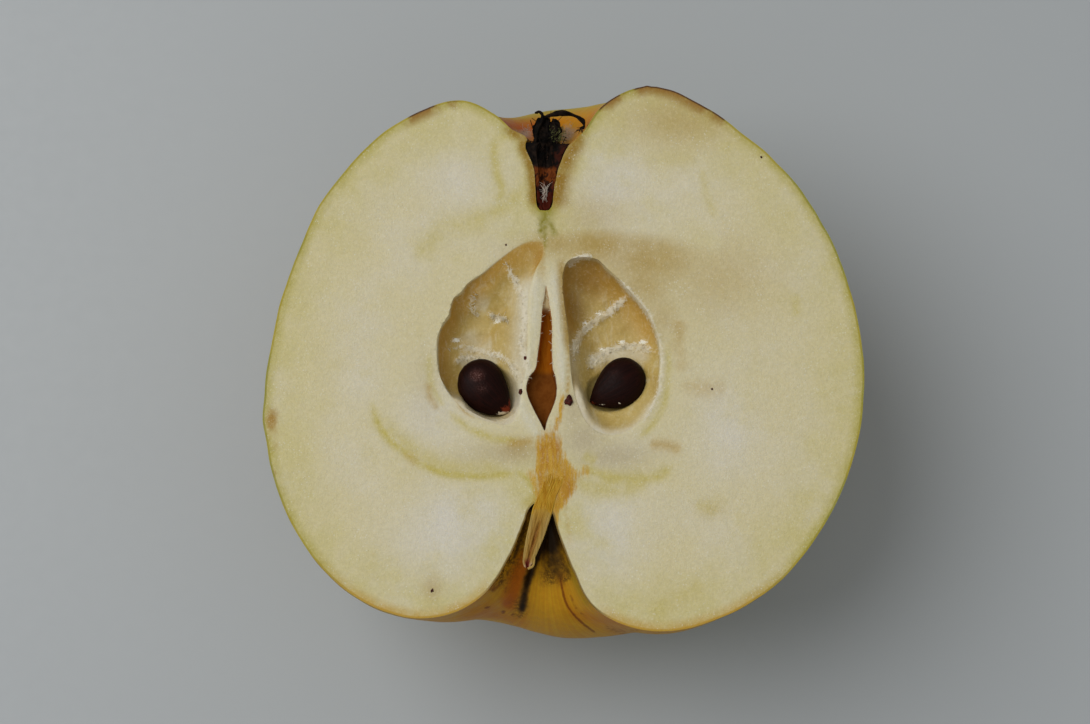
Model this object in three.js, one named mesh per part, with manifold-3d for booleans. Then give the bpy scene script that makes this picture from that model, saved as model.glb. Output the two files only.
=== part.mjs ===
// Half of a yellow apple, cut lengthwise through the core and lying on its round side.
//
// Millimetres. In the apple's own frame +X runs to the right across the cut face, +Y along the core
// towards the dried flower (the calyx), +Z up out of the cut, and the cut face is the plane z = 0.
// The flesh with its skin is one solid. The two seeds, the dried calyx and the stem are the others.
import * as THREE from "three";
import { mergeVertices } from "three/addons/utils/BufferGeometryUtils.js";
import Module from "manifold-3d";

const wasm = await Module();
wasm.setup();

// ---------------------------------------------------------------- driving dimensions

const GAP = 0.3; // clearance between neighbouring pieces
const DEPTH_RATIO = 0.975; // depth of the half against the mean of its two half widths
const REST_SPOT_DEPTH = 0.45; // how much of the belly is flat where the half rests
const BLOCK = 60; // side of the block that cuts the belly flat

// The outline of the cut face, from the bottom of the calyx tube over the crown, the flank and the
// base into the stem cavity. Each station is [distance from the core axis, height] on either side.
const STATIONS = [
  { at: "calyx tube tip", right: [0.0, 19.5], left: [0.0, 19.5] },
  { at: "calyx tube", right: [1.5, 22.8], left: [1.5, 22.8] },
  { at: "calyx tube mouth", right: [3.2, 28.6], left: [2.7, 29.0] },
  { at: "calyx basin", right: [7.0, 32.7], left: [5.8, 32.1] },
  { at: "crown", right: [12.0, 35.2], left: [10.6, 33.7] },
  { at: "shoulder", right: [20.2, 32.7], left: [18.2, 31.0] },
  { at: "upper flank", right: [28.7, 26.0], left: [25.6, 23.9] },
  { at: "upper waist", right: [36.6, 14.1], left: [31.6, 12.3] },
  { at: "widest", right: [39.9, -1.0], left: [34.9, -2.6] },
  { at: "lower waist", right: [37.4, -14.6], left: [32.7, -17.2] },
  { at: "haunch", right: [29.6, -26.7], left: [25.6, -27.7] },
  { at: "base shoulder", right: [20.6, -32.2], left: [18.2, -31.5] },
  { at: "base crest", right: [13.4, -33.5], left: [12.6, -31.6] },
  { at: "stem cavity lip", right: [8.0, -30.9], left: [7.4, -28.8] },
  { at: "stem cavity", right: [4.2, -25.8], left: [4.4, -24.2] },
  { at: "stem cavity neck", right: [2.2, -20.8], left: [2.5, -20.0] },
  { at: "stem socket", right: [1.85, -18.3], left: [1.85, -18.1] },
  { at: "stem cavity end", right: [0.0, -17.1], left: [0.0, -17.1] },
];
const STATION_STEPS = 3; // rows of facets from one station to the next
const AZIMUTH_STEPS = 48; // facets round the half, from the right edge of the cut to the left

// Five soft lobes run round the fruit. They stand out at the crown and the base and fade between.
const LOBE_COUNT = 5;
const LOBE_PEAK = THREE.MathUtils.degToRad(84);
const LOBE_HEIGHT = { crown: 0.5, belly: 0.45, base: 0.25 };
const LOBE_REACH = { crown: 0.09, belly: 0.16, base: 0.1 };
const AXIS_FADE = 2; // lobes and swells fade out over this distance from the core axis

// Swells and hollows of the skin that only this apple has: a high and a low stretch of the base's
// crest, and in the stem cavity a sharp fold with a swelling beside it. The azimuth and the width
// are in degrees round the half, the reach is a share of the outline, and the skin moves outwards
// by spread and towards the calyx by lift.
const SWELLS = [
  { at: "base crest", azimuth: 70, width: 24, reach: 0.08, spread: 0, lift: -0.6 },
  { at: "base crest", azimuth: 118, width: 20, reach: 0.08, spread: 0, lift: 0.95 },
  { at: "base crest", azimuth: 157, width: 15, reach: 0.08, spread: 0, lift: 0.5 },
  { at: "stem cavity", azimuth: 108, width: 7, reach: 0.075, spread: 0.9, lift: 0 },
  { at: "stem cavity", azimuth: 76, width: 17, reach: 0.075, spread: -0.8, lift: 0 },
];

// Rims of the two seed chambers and of the slit into the third one, on the cut face.
const CHAMBERS = {
  left: {
    rim: [
      [-3.4, 12.9],
      [-7.2, 12.0],
      [-10.6, 9.0],
      [-13.0, 4.3],
      [-13.2, -1.2],
      [-10.9, -6.2],
      [-7.2, -8.1],
      [-4.3, -7.8],
      [-3.3, -5.7],
      [-3.3, -2.6],
      [-2.3, 2.0],
      [-2.0, 8.0],
      [-2.1, 12.0],
    ],
    middle: [-7.6, 2.6],
    deepest: [-8.9, 2.8],
    depth: 6.0,
  },
  right: {
    rim: [
      [2.9, 13.0],
      [5.6, 13.4],
      [8.6, 11.3],
      [11.7, 7.7],
      [13.9, 3.4],
      [14.4, -1.0],
      [13.2, -5.8],
      [10.6, -8.7],
      [7.6, -9.3],
      [4.9, -7.5],
      [3.6, -3.5],
      [3.1, 2.0],
      [2.4, 9.0],
    ],
    middle: [8.2, 1.8],
    deepest: [7.6, 2.4],
    depth: 6.0,
  },
};
const CHAMBER_CORNERS = 36; // facets round a chamber's rim
const CHAMBER_RINGS = 7; // rings of facets from the rim to the floor
const CHAMBER_FLOOR = 0.5; // size of the flat middle of the floor against the rim
const WALL_STEEPNESS = 3; // 2 makes a round bowl, more makes its walls steeper

const SLIT = {
  rim: [
    [0.0, 10.0],
    [0.9, 5.3],
    [1.2, -0.8],
    [2.4, -2.6],
    [2.4, -5.2],
    [0.1, -8.7],
    [-2.3, -5.4],
    [-2.7, -3.2],
    [-1.6, -1.0],
    [-1.1, 4.0],
  ],
  middle: [0.0, -2.4],
  depth: 4.6,
  narrowing: 0.12, // how much smaller the floor is than the rim
  bevelStart: 0.8, // share of the depth from which the walls turn in to the floor
};

// A seed is a flattened drop that points to the base of the core. Its tip angle is the direction
// of the pointed end on the cut face, measured from +X.
const SEEDS = {
  seed_left: { centre: [-7.3, -3.5], tipAngle: -51, length: 8.3, width: 6.1 },
  seed_right: { centre: [9.3, -2.9], tipAngle: -146, length: 7.8, width: 6.15 },
};
const SEED = { thickness: 3.6, top: -0.5, pointedness: 1.15, rings: 20, corners: 18 };

// The dried calyx: a lining in the tube, a crumpled knot of withered stamens in its mouth, and
// the sepals that curl out of the knot. The lining runs between two shares of the outline, its
// hollow is a share of its radius at the middle, and it narrows towards its ends by the taper.
const CALYX_LINING = { start: 0.045, end: 0.118, rings: 8, corners: 14, hollow: 0.55, taper: 0.6 };
const CALYX_KNOT = {
  centre: [0.1, 29.3, -1.15],
  radii: [2.05, 1.85, 1.0],
  ridges: 7,
  ridgeDepth: 0.09,
  meridians: 20,
  parallels: 12,
};
const SEPALS = [
  {
    line: [
      [-0.2, 29.2, -0.9],
      [-0.6, 30.6, -0.8],
      [-0.9, 31.7, -0.7],
      [-1.6, 32.3, -0.7],
      [-2.0, 32.0, -0.9],
    ],
    width: 0.9,
    across: [0.8, 0.2, 0.6],
  },
  {
    line: [
      [0.3, 30.0, -1.1],
      [1.0, 31.5, -0.9],
      [2.6, 32.1, -0.8],
      [4.0, 31.7, -0.7],
      [4.4, 31.0, -0.7],
    ],
    width: 1.0,
    across: [0.1, 0.5, 0.9],
  },
  {
    line: [
      [0.2, 29.6, -1.6],
      [0.3, 30.6, -1.5],
      [0.0, 31.5, -1.6],
      [0.3, 32.0, -1.9],
    ],
    width: 1.5,
    across: [1.0, 0.0, 0.3],
  },
];
const SEPAL = { thickness: 0.4, steps: 12, columns: 3, waves: 2.5, waveHeight: 0.12, narrowing: 0.85 };

// The stem's stub, cut lengthwise with the fruit: [x, y, half width] down its middle line.
const STEM_LINE = [
  [0.1, -17.9, 0.5],
  [0.05, -18.7, 1.35],
  [-0.5, -20.6, 1.3],
  [-1.2, -22.6, 1.1],
  [-1.9, -24.4, 0.9],
  [-2.15, -25.5, 0.75],
  [-2.2, -26.1, 0.4],
];
const STEM = { rings: 14, corners: 12, depthRatio: 0.95, cutDip: 0.12 };

// ---------------------------------------------------------------- surfaces and solids

const WELD = 1e-4; // points closer than this are one

// The triangles of a grid of points, with pointAt(row, column).
function gridTriangles(pointAt, rows, columns) {
  const triangles = [];
  for (let row = 0; row < rows; row++) {
    for (let column = 0; column < columns; column++) {
      const a = pointAt(row, column);
      const b = pointAt(row + 1, column);
      const c = pointAt(row + 1, column + 1);
      const d = pointAt(row, column + 1);
      triangles.push([a, b, c], [a, c, d]);
    }
  }
  return triangles;
}

// The triangles from a ring of points to its middle.
function fanTriangles(ring) {
  const middle = new THREE.Vector3();
  ring.forEach((point) => middle.addScaledVector(point, 1 / ring.length));
  return ring.map((point, i) => [point, ring[(i + 1) % ring.length], middle]);
}

// The closed surface through a row of rings that all have the same number of points.
function loftTriangles(rings) {
  const corners = rings[0].length;
  const pointAt = (row, column) => rings[row][column % corners];
  return [
    ...gridTriangles(pointAt, rings.length - 1, corners),
    ...fanTriangles(rings[0]),
    ...fanTriangles([...rings.at(-1)].reverse()),
  ];
}

// The same triangles with their other side out.
function turned(triangles) {
  return triangles.map(([a, b, c]) => [a, c, b]);
}

// The triangles of a three.js geometry, with each corner moved by place(point).
function trianglesOf(geometry, place = (point) => point) {
  const position = geometry.toNonIndexed().getAttribute("position");
  const triangles = [];
  for (let i = 0; i < position.count; i += 3) {
    const corners = [i, i + 1, i + 2].map((k) => new THREE.Vector3().fromBufferAttribute(position, k));
    triangles.push(corners.map(place));
  }
  return triangles;
}

// A manifold-3d solid from a closed set of triangles, turned to face outwards.
function solidFrom(triangles) {
  const soup = new THREE.BufferGeometry().setFromPoints(triangles.flat());
  const welded = mergeVertices(soup, WELD);
  const corners = [];
  for (let i = 0; i < welded.index.count; i += 3) {
    const [a, b, c] = [0, 1, 2].map((k) => welded.index.getX(i + k));
    if (a !== b && b !== c && c !== a) corners.push([a, b, c]);
  }
  const build = (faces) =>
    new wasm.Manifold(
      new wasm.Mesh({
        numProp: 3,
        vertProperties: welded.attributes.position.array,
        triVerts: new Uint32Array(faces.flat()),
      }),
    );
  const solid = build(corners);
  return solid.volume() > 0 ? solid : build(turned(corners));
}

// A three.js geometry from a manifold-3d solid, with one normal to each facet.
function geometryFrom(solid) {
  const { vertProperties, triVerts } = solid.getMesh();
  const indexed = new THREE.BufferGeometry();
  indexed.setAttribute("position", new THREE.BufferAttribute(vertProperties, 3));
  indexed.setIndex(new THREE.BufferAttribute(triVerts, 1));
  const geometry = indexed.toNonIndexed();
  geometry.computeVertexNormals();
  return geometry;
}

function curveThrough(points, closed = false) {
  const vectors = points.map(([x, y, z = 0]) => new THREE.Vector3(x, y, z));
  return new THREE.CatmullRomCurve3(vectors, closed, "centripetal");
}

// A bump of height 1 at the middle that fades to nothing over about three widths.
function bell(value, middle, width) {
  const offset = (value - middle) / width;
  return Math.exp(-offset * offset);
}

// ---------------------------------------------------------------- flesh and skin

const outlines = {
  right: curveThrough(STATIONS.map(({ right }) => right)),
  left: curveThrough(STATIONS.map(({ left }) => left)),
};

// Where a station lies along the outline, from 0 at the calyx to 1 at the stem.
function stationAt(name) {
  return STATIONS.findIndex(({ at }) => at === name) / (STATIONS.length - 1);
}

// The lobes' height at an azimuth, from -1 to 1, faded so that the edges of the cut stay put.
function lobe(azimuth) {
  const wave = (angle) => Math.cos(LOBE_COUNT * (angle - LOBE_PEAK));
  const rightShare = (1 + Math.cos(azimuth)) / 2;
  return wave(azimuth) - rightShare * wave(0) - (1 - rightShare) * wave(Math.PI);
}

// A point of the skin: along the outline from calyx to stem, and round from right to left.
function skinPoint(along, azimuth, inset = 0) {
  const right = outlines.right.getPoint(along);
  const left = outlines.left.getPoint(along);
  const rightShare = (1 + Math.cos(azimuth)) / 2;
  const degrees = THREE.MathUtils.radToDeg(azimuth);
  const plainRadius = THREE.MathUtils.lerp(left.x, right.x, rightShare);
  const fade = Math.min(1, plainRadius / AXIS_FADE);
  const lobes = fade * lobe(azimuth);
  let radius = plainRadius - inset;
  let height = THREE.MathUtils.lerp(left.y, right.y, rightShare);
  radius += lobes * LOBE_HEIGHT.belly * bell(along, stationAt("widest"), LOBE_REACH.belly);
  height += lobes * LOBE_HEIGHT.crown * bell(along, stationAt("crown"), LOBE_REACH.crown);
  height -= lobes * LOBE_HEIGHT.base * bell(along, stationAt("base crest"), LOBE_REACH.base);
  for (const swell of SWELLS) {
    const round = bell(degrees, swell.azimuth, swell.width);
    const share = round * bell(along, stationAt(swell.at), swell.reach);
    radius += fade * share * swell.spread;
    height += fade * share * swell.lift;
  }
  return new THREE.Vector3(
    radius * Math.cos(azimuth),
    height,
    -radius * Math.sin(azimuth) * DEPTH_RATIO,
  );
}

// The flat cut face inside its outline.
function cutTriangles(rows) {
  const rightEdge = rows.map((along) => skinPoint(along, 0));
  const leftEdge = rows.map((along) => skinPoint(along, Math.PI));
  const loop = [...rightEdge, ...leftEdge.slice(1, -1).reverse()];
  const flat = loop.map(({ x, y }) => new THREE.Vector2(x, y));
  return THREE.ShapeUtils.triangulateShape(flat, []).map((face) => face.map((i) => loop[i]));
}

function wholeHalf() {
  const count = (STATIONS.length - 1) * STATION_STEPS;
  const rows = Array.from({ length: count + 1 }, (_, i) => i / count);
  const pointAt = (row, column) => skinPoint(rows[row], (Math.PI * column) / AZIMUTH_STEPS);
  return solidFrom([...gridTriangles(pointAt, count, AZIMUTH_STEPS), ...cutTriangles(rows)]);
}

// A seed chamber: its walls drop steeply and its floor shifts towards the outer wall.
function chamberSolid({ rim, middle, deepest, depth }) {
  const edge = curveThrough(rim, true).getPoints(CHAMBER_CORNERS).slice(0, -1);
  const rings = [edge.map(({ x, y }) => new THREE.Vector3(x, y, 1))];
  for (let k = 0; k <= CHAMBER_RINGS; k++) {
    const turn = (k / CHAMBER_RINGS) * Math.acos(CHAMBER_FLOOR ** (WALL_STEEPNESS / 2));
    const size = Math.cos(turn) ** (2 / WALL_STEEPNESS);
    const sink = Math.sin(turn) ** (2 / WALL_STEEPNESS);
    const centreX = THREE.MathUtils.lerp(middle[0], deepest[0], sink);
    const centreY = THREE.MathUtils.lerp(middle[1], deepest[1], sink);
    rings.push(
      edge.map(
        ({ x, y }) =>
          new THREE.Vector3(
            centreX + (x - middle[0]) * size,
            centreY + (y - middle[1]) * size,
            -depth * sink,
          ),
      ),
    );
  }
  return solidFrom(loftTriangles(rings));
}

function slitSolid() {
  const edge = curveThrough(SLIT.rim, true).getPoints(CHAMBER_CORNERS).slice(0, -1);
  const levels = [
    { size: 1, z: 1 },
    { size: 1, z: 0 },
    { size: 1 - SLIT.narrowing / 2, z: -SLIT.depth * SLIT.bevelStart },
    { size: 1 - SLIT.narrowing, z: -SLIT.depth },
  ];
  const rings = levels.map(({ size, z }) =>
    edge.map(
      ({ x, y }) =>
        new THREE.Vector3(
          SLIT.middle[0] + (x - SLIT.middle[0]) * size,
          SLIT.middle[1] + (y - SLIT.middle[1]) * size,
          z,
        ),
    ),
  );
  return solidFrom(loftTriangles(rings));
}

// Everything below the flat spot that the half rests on.
function belowRest(lowest) {
  const box = new THREE.BoxGeometry(BLOCK, BLOCK, BLOCK);
  box.translate(0, 0, lowest + REST_SPOT_DEPTH - BLOCK / 2);
  return solidFrom(trianglesOf(box));
}

function appleHalf() {
  const half = wholeHalf();
  return half
    .subtract(chamberSolid(CHAMBERS.left))
    .subtract(chamberSolid(CHAMBERS.right))
    .subtract(slitSolid())
    .subtract(belowRest(half.boundingBox().min[2]));
}

// ---------------------------------------------------------------- seeds

// Half the width of a seed, against its greatest half width, at a turn from blunt end to tip.
function seedShape(turn) {
  return Math.sin(turn) * Math.cos(turn / 2) ** SEED.pointedness;
}

function seedSolid({ centre, tipAngle, length, width }) {
  const turns = Array.from({ length: SEED.rings + 1 }, (_, k) => (Math.PI * k) / SEED.rings);
  const widest = Math.max(...turns.map(seedShape));
  const rings = turns.slice(1, -1).map((turn) =>
    Array.from({ length: SEED.corners }, (_, i) => {
      const round = (2 * Math.PI * i) / SEED.corners;
      const size = seedShape(turn) / widest;
      return new THREE.Vector3(
        (-Math.cos(turn) * length) / 2,
        (Math.cos(round) * size * width) / 2,
        (Math.sin(round) * size * SEED.thickness) / 2,
      );
    }),
  );
  const place = new THREE.Matrix4().makeRotationZ(THREE.MathUtils.degToRad(tipAngle));
  place.setPosition(centre[0], centre[1], SEED.top - SEED.thickness / 2);
  rings.flat().forEach((point) => point.applyMatrix4(place));
  return solidFrom(loftTriangles(rings));
}

// ---------------------------------------------------------------- calyx

// The lining of the calyx tube: half a ring at each level, thick in the wall and open to the cut.
function calyxLining() {
  const { start, end, rings, corners, hollow, taper } = CALYX_LINING;
  const walls = Array.from({ length: rings + 1 }, (_, k) => {
    const along = THREE.MathUtils.lerp(start, end, k / rings);
    const open = hollow * Math.sin((Math.PI * (k + taper)) / (rings + 2 * taper));
    const outer = Array.from({ length: corners + 1 }, (_, i) =>
      skinPoint(along, (Math.PI * i) / corners, GAP),
    );
    const inner = outer.map(({ x, y, z }) => new THREE.Vector3(x * open, y, z * open));
    return { outer, inner };
  });
  const loops = walls.map(({ outer, inner }) => [...outer, ...[...inner].reverse()]);
  const sides = gridTriangles((row, i) => loops[row][i % loops[row].length], rings, loops[0].length);
  const cap = ({ outer, inner }) =>
    gridTriangles((row, i) => (row === 0 ? outer[i] : inner[i]), 1, corners);
  return solidFrom([...sides, ...turned(cap(walls[0])), ...cap(walls.at(-1))]);
}

// A crumpled knot with ridges that run up out of the tube.
function calyxKnot() {
  const { centre, radii, ridges, ridgeDepth, meridians, parallels } = CALYX_KNOT;
  const crumple = (point) => {
    const round = Math.atan2(point.z, point.x);
    const fade = 1 - point.y * point.y;
    point.multiplyScalar(1 + ridgeDepth * fade * Math.cos(ridges * round));
    return point.multiply(new THREE.Vector3(...radii)).add(new THREE.Vector3(...centre));
  };
  return solidFrom(trianglesOf(new THREE.SphereGeometry(1, meridians, parallels), crumple));
}

// A thin dried sepal along its middle line, both faces split into triangles alike.
function sepalSolid({ line, width, across }) {
  const { thickness, steps, columns, waves, waveHeight, narrowing } = SEPAL;
  const curve = curveThrough(line);
  const side = new THREE.Vector3(...across).normalize();
  const facePoint = (row, column, face) => {
    const along = row / steps;
    const middle = curve.getPoint(along);
    const normal = curve.getTangent(along).cross(side).normalize();
    const taper = Math.sqrt(1 - narrowing * along * along);
    const offset = (column / columns - 0.5) * width * taper;
    const wave = waveHeight * Math.sin(2 * Math.PI * waves * along + column);
    const lift = wave + (face * thickness * taper) / 2;
    return middle.addScaledVector(side, offset).addScaledVector(normal, lift);
  };
  const front = gridTriangles((row, column) => facePoint(row, column, 1), steps, columns);
  const back = gridTriangles((row, column) => facePoint(row, column, -1), steps, columns);
  const border = [];
  for (let column = 0; column < columns; column++) border.push([0, column]);
  for (let row = 0; row < steps; row++) border.push([row, columns]);
  for (let column = columns; column > 0; column--) border.push([steps, column]);
  for (let row = steps; row > 0; row--) border.push([row, 0]);
  const borderPoint = (face, i) => facePoint(...border[i % border.length], face);
  const edge = gridTriangles((row, i) => borderPoint(row === 0 ? 1 : -1, i), 1, border.length);
  return solidFrom([...front, ...turned(back), ...turned(edge)]);
}

function calyx() {
  const knotInTube = calyxLining().add(calyxKnot());
  return SEPALS.map(sepalSolid).reduce((sum, sepal) => sum.add(sepal), knotInTube);
}

// ---------------------------------------------------------------- stem

// The stub of the stem: a half round with a slightly hollow cut face.
function stemSolid() {
  const middleLine = curveThrough(STEM_LINE);
  const rings = Array.from({ length: STEM.rings + 1 }, (_, k) => {
    const { x, y, z: halfWidth } = middleLine.getPoint(k / STEM.rings);
    const under = Array.from({ length: STEM.corners + 1 }, (_, i) => {
      const round = (Math.PI * i) / STEM.corners;
      const depth = Math.sin(round) * halfWidth * STEM.depthRatio;
      return new THREE.Vector3(x + Math.cos(round) * halfWidth, y, -depth);
    });
    const cut = new THREE.Vector3(x, y, -STEM.cutDip * halfWidth);
    return [...under, cut];
  });
  return solidFrom(loftTriangles(rings));
}

// ---------------------------------------------------------------- the part

const finishes = {
  apple_half: { color: 0xe3d08a, roughness: 0.5 },
  seed_left: { color: 0x2e1610, roughness: 0.3 },
  seed_right: { color: 0x2e1610, roughness: 0.3 },
  calyx: { color: 0x1d1712, roughness: 0.9 },
  stem: { color: 0x9a7434, roughness: 0.85 },
};

const solids = {
  apple_half: appleHalf(),
  seed_left: seedSolid(SEEDS.seed_left),
  seed_right: seedSolid(SEEDS.seed_right),
  calyx: calyx(),
  stem: stemSolid(),
};

// The part's origin is the middle of its footprint, on the surface that it rests on.
const { min, max } = solids.apple_half.boundingBox();
const fruit = new THREE.Group();
fruit.position.set(-(min[0] + max[0]) / 2, -(min[1] + max[1]) / 2, -min[2]);
for (const [name, solid] of Object.entries(solids)) {
  const material = new THREE.MeshStandardMaterial({ ...finishes[name], metalness: 0 });
  const mesh = new THREE.Mesh(geometryFrom(solid), material);
  mesh.name = name;
  fruit.add(mesh);
}

const part = new THREE.Group();
part.add(fruit);

export default part;
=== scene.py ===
"""Looks for half of a yellow apple, cut lengthwise through the core and lying on its round side.

Lengths are millimetres in the fruit's own frame until they go into a mesh: +X runs to the right
across the cut face, +Y along the core towards the calyx, +Z up out of the cut, which is z = 0.
"""
import math
import random

import bpy
import numpy as np
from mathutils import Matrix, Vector, noise
from mathutils.geometry import delaunay_2d_cdt


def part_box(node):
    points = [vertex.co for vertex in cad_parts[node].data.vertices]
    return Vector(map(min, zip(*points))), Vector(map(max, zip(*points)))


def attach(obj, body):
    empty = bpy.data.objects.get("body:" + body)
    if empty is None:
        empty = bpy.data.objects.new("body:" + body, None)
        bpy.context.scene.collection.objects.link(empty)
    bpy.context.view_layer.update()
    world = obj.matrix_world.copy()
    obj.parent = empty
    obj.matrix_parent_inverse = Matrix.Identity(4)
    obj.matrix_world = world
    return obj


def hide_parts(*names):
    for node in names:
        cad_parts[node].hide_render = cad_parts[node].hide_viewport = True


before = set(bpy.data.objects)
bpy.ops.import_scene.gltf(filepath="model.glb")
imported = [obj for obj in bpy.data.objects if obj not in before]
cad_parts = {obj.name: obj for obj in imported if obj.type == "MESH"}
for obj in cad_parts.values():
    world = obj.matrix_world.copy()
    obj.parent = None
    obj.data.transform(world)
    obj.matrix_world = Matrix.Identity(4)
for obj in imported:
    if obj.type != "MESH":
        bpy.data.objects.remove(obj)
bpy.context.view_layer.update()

MM = 0.001
TINY = 1e-9  # keeps divisions by lengths of nothing finite

# ---------------------------------------------------------------- sizes of the fruit

DEPTH_RATIO = 0.975  # depth of the half against the mean of its two half widths

# The outline of the cut face: name, then [distance from the core axis, height] right and left.
STATIONS = [
    ("calyx tube tip", (0.0, 19.3), (0.0, 19.3)),
    ("calyx tube end", (0.6, 19.5), (0.75, 19.5)),
    ("calyx tube", (1.25, 22.4), (1.2, 22.4)),
    ("calyx tube waist", (1.85, 25.1), (1.6, 25.1)),
    ("calyx tube mouth", (2.8, 27.5), (2.55, 27.6)),
    ("calyx basin foot", (3.7, 28.4), (2.3, 28.65)),
    ("calyx basin wall", (5.05, 29.8), (4.3, 29.85)),
    ("calyx basin", (7.05, 32.65), (6.5, 31.9)),
    ("crown", (12.0, 35.2), (10.6, 33.7)),
    ("shoulder", (20.2, 32.7), (18.2, 31.0)),
    ("upper flank", (28.7, 26.0), (25.6, 23.9)),
    ("upper waist", (36.6, 14.1), (31.6, 12.3)),
    ("widest", (39.9, -1.0), (34.9, -2.6)),
    ("lower waist", (37.4, -14.6), (32.7, -17.2)),
    ("haunch", (29.6, -26.7), (25.6, -27.7)),
    ("base shoulder", (20.6, -32.2), (18.2, -31.5)),
    ("base crest", (13.4, -33.5), (12.6, -31.6)),
    ("stem cavity lip", (6.3, -30.9), (7.5, -29.0)),
    ("stem cavity", (3.35, -25.8), (4.2, -24.2)),
    ("stem cavity neck", (1.7, -21.3), (2.5, -20.0)),
    ("stem socket", (1.05, -19.1), (1.8, -18.1)),
    ("stem cavity end", (0.0, -17.1), (0.0, -17.1)),
]
# The faint lobes round the core, and the azimuth of one of their crests.
LOBE_COUNT = 5
LOBE_PEAK = math.radians(84)
# The lobes' height at a station, and over how many stations they fade.
LOBES = {"crown": (0.5, 1.6), "widest": (0.45, 2.9), "base crest": (0.25, 1.8)}
AXIS_FADE = 2.0  # nearer the axis than this the lobes and swells fade out
# Swells of the skin: station, azimuth and width in degrees, reach in stations, spread, lift.
SWELLS = [
    ("crown", 150, 22, 1.6, 0.0, -0.7),
    ("crown", 50, 22, 1.6, 0.0, 1.0),
    ("base crest", 70, 24, 1.45, 0.0, -0.6),
    ("base crest", 118, 20, 1.45, 0.0, 0.95),
    ("base crest", 157, 15, 1.45, 0.0, 0.5),
    ("stem cavity", 108, 7, 1.35, 0.9, 0.0),
    ("stem cavity", 76, 17, 1.35, -0.8, 0.0),
]

# How far apart the points of the skin, of the level flesh and of the chambers lie.
SKIN_STEP = 0.55
SKIN_COLUMNS = 180
FLESH_STEP = 0.46
CHAMBER_STEP = 0.26
# Small dents in the edge of the skin on the cut: x, y, radius, depth; bumps have depths below 0.
NICKS = [
    (13.0, 35.0, 0.6, 0.24),
    (14.2, 34.8, 0.4, 0.2),
    (16.0, 34.0, 2.2, 0.3),
    (-35.0, -7.2, 2.0, 0.34),
    (-34.2, -13.0, 2.6, 0.12),
    (31.0, 22.2, 3.2, 0.22),
    (-28.2, 19.4, 3.6, 0.2),
    (24.6, 29.4, 2.6, -0.22),
    (38.8, 7.0, 5.0, -0.15),
    (-34.6, 2.4, 4.6, -0.15),
]

# The chambers. The floor is a bowl about its deepest point: with a large steepness its walls are
# sheer, with a small one they slope. "sheer" and "gentle" are the directions, in degrees, and the
# steepness there. The floor rises between the two heights of "rise" to the given share of the
# depth. "amber" is how strongly the sheer wall gets its painted shade.
CHAMBERS = {
    "left": {
        "rim": [
            (-0.3, 15.3), (-1.6, 15.5), (-3.4, 14.8), (-5.6, 13.2), (-7.7, 11.4), (-9.8, 9.9),
            (-10.5, 8.8), (-11.4, 8.2), (-11.8, 7.1), (-12.0, 5.9), (-12.6, 5.1), (-13.1, 4.2),
            (-13.4, 2.8), (-13.4, 0.6), (-13.1, -1.8), (-12.2, -3.5), (-10.7, -5.5),
            (-8.6, -7.0), (-6.1, -7.9), (-4.2, -7.8), (-3.2, -6.0), (-2.7, -3.2), (-2.2, 0.4),
            (-2.1, 5.0), (-1.9, 9.0), (-1.0, 12.0), (-0.2, 13.6),
        ],
        "deepest": (-8.6, 2.2),
        "depth": 3.6,
        "sheer": (150, 2.7),
        "gentle": (5, 1.1),
        "rise": (15.0, 5.5, 0.16),
        "amber": 1.0,
    },
    "right": {
        "rim": [
            (2.6, 12.5), (3.3, 13.1), (4.3, 13.3), (5.4, 13.3), (6.7, 13.0), (7.7, 11.9),
            (9.0, 10.7), (10.4, 9.1), (11.9, 7.4), (13.3, 5.3), (14.0, 3.3), (14.4, 0.9),
            (14.3, -1.5), (14.1, -3.8), (13.3, -5.8), (11.9, -7.6), (10.2, -8.9), (8.0, -9.3),
            (5.8, -8.4), (4.4, -6.3), (3.5, -3.3), (3.1, 0.3), (2.9, 4.0), (2.4, 7.9), (2.2, 10.4),
        ],
        "deepest": (6.6, 3.4),
        "depth": 4.0,
        "sheer": (80, 3.0),
        "gentle": (-110, 1.25),
        "rise": (13.0, 9.0, 0.8),
        "amber": 0.8,
    },
}
# The slit into the third chamber: its wall is as wide as "wall", and above the heights of
# "membrane" it has only the shallow depth.
SLIT = {
    "rim": [
        (0.15, 9.8), (0.45, 8.2), (0.65, 6.9), (0.87, 5.3), (0.9, 3.4), (0.93, 0.9), (1.05, -1.0),
        (1.35, -2.0), (1.5, -3.2), (1.4, -4.5), (0.85, -6.05), (0.25, -7.6), (0.0, -8.7),
        (-0.6, -7.6), (-1.4, -6.05), (-2.1, -4.5), (-2.35, -3.2), (-1.95, -1.8), (-1.25, -0.9),
        (-0.94, 0.9), (-0.62, 3.4), (-0.47, 5.3), (-0.35, 6.9), (-0.1, 8.4),
    ],
    "depth": 1.7,
    "shallow": 0.35,
    "membrane": (6.2, 7.0),
    "wall": 0.3,
}
# Pale swellings of the chambers' floors round the seeds.
LEDGES = [
    ([(-12.1, -3.4), (-10.6, -5.6), (-8.8, -7.0), (-6.3, -7.8), (-4.2, -7.5), (-3.2, -5.4),
      (-3.0, -3.0)], 1.1, 1.0),
    ([(3.8, -1.6), (4.3, -5.0), (5.4, -7.8), (7.8, -9.2), (10.6, -8.8), (13.0, -6.6),
      (14.2, -3.4)], 0.8, 1.0),
]
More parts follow.
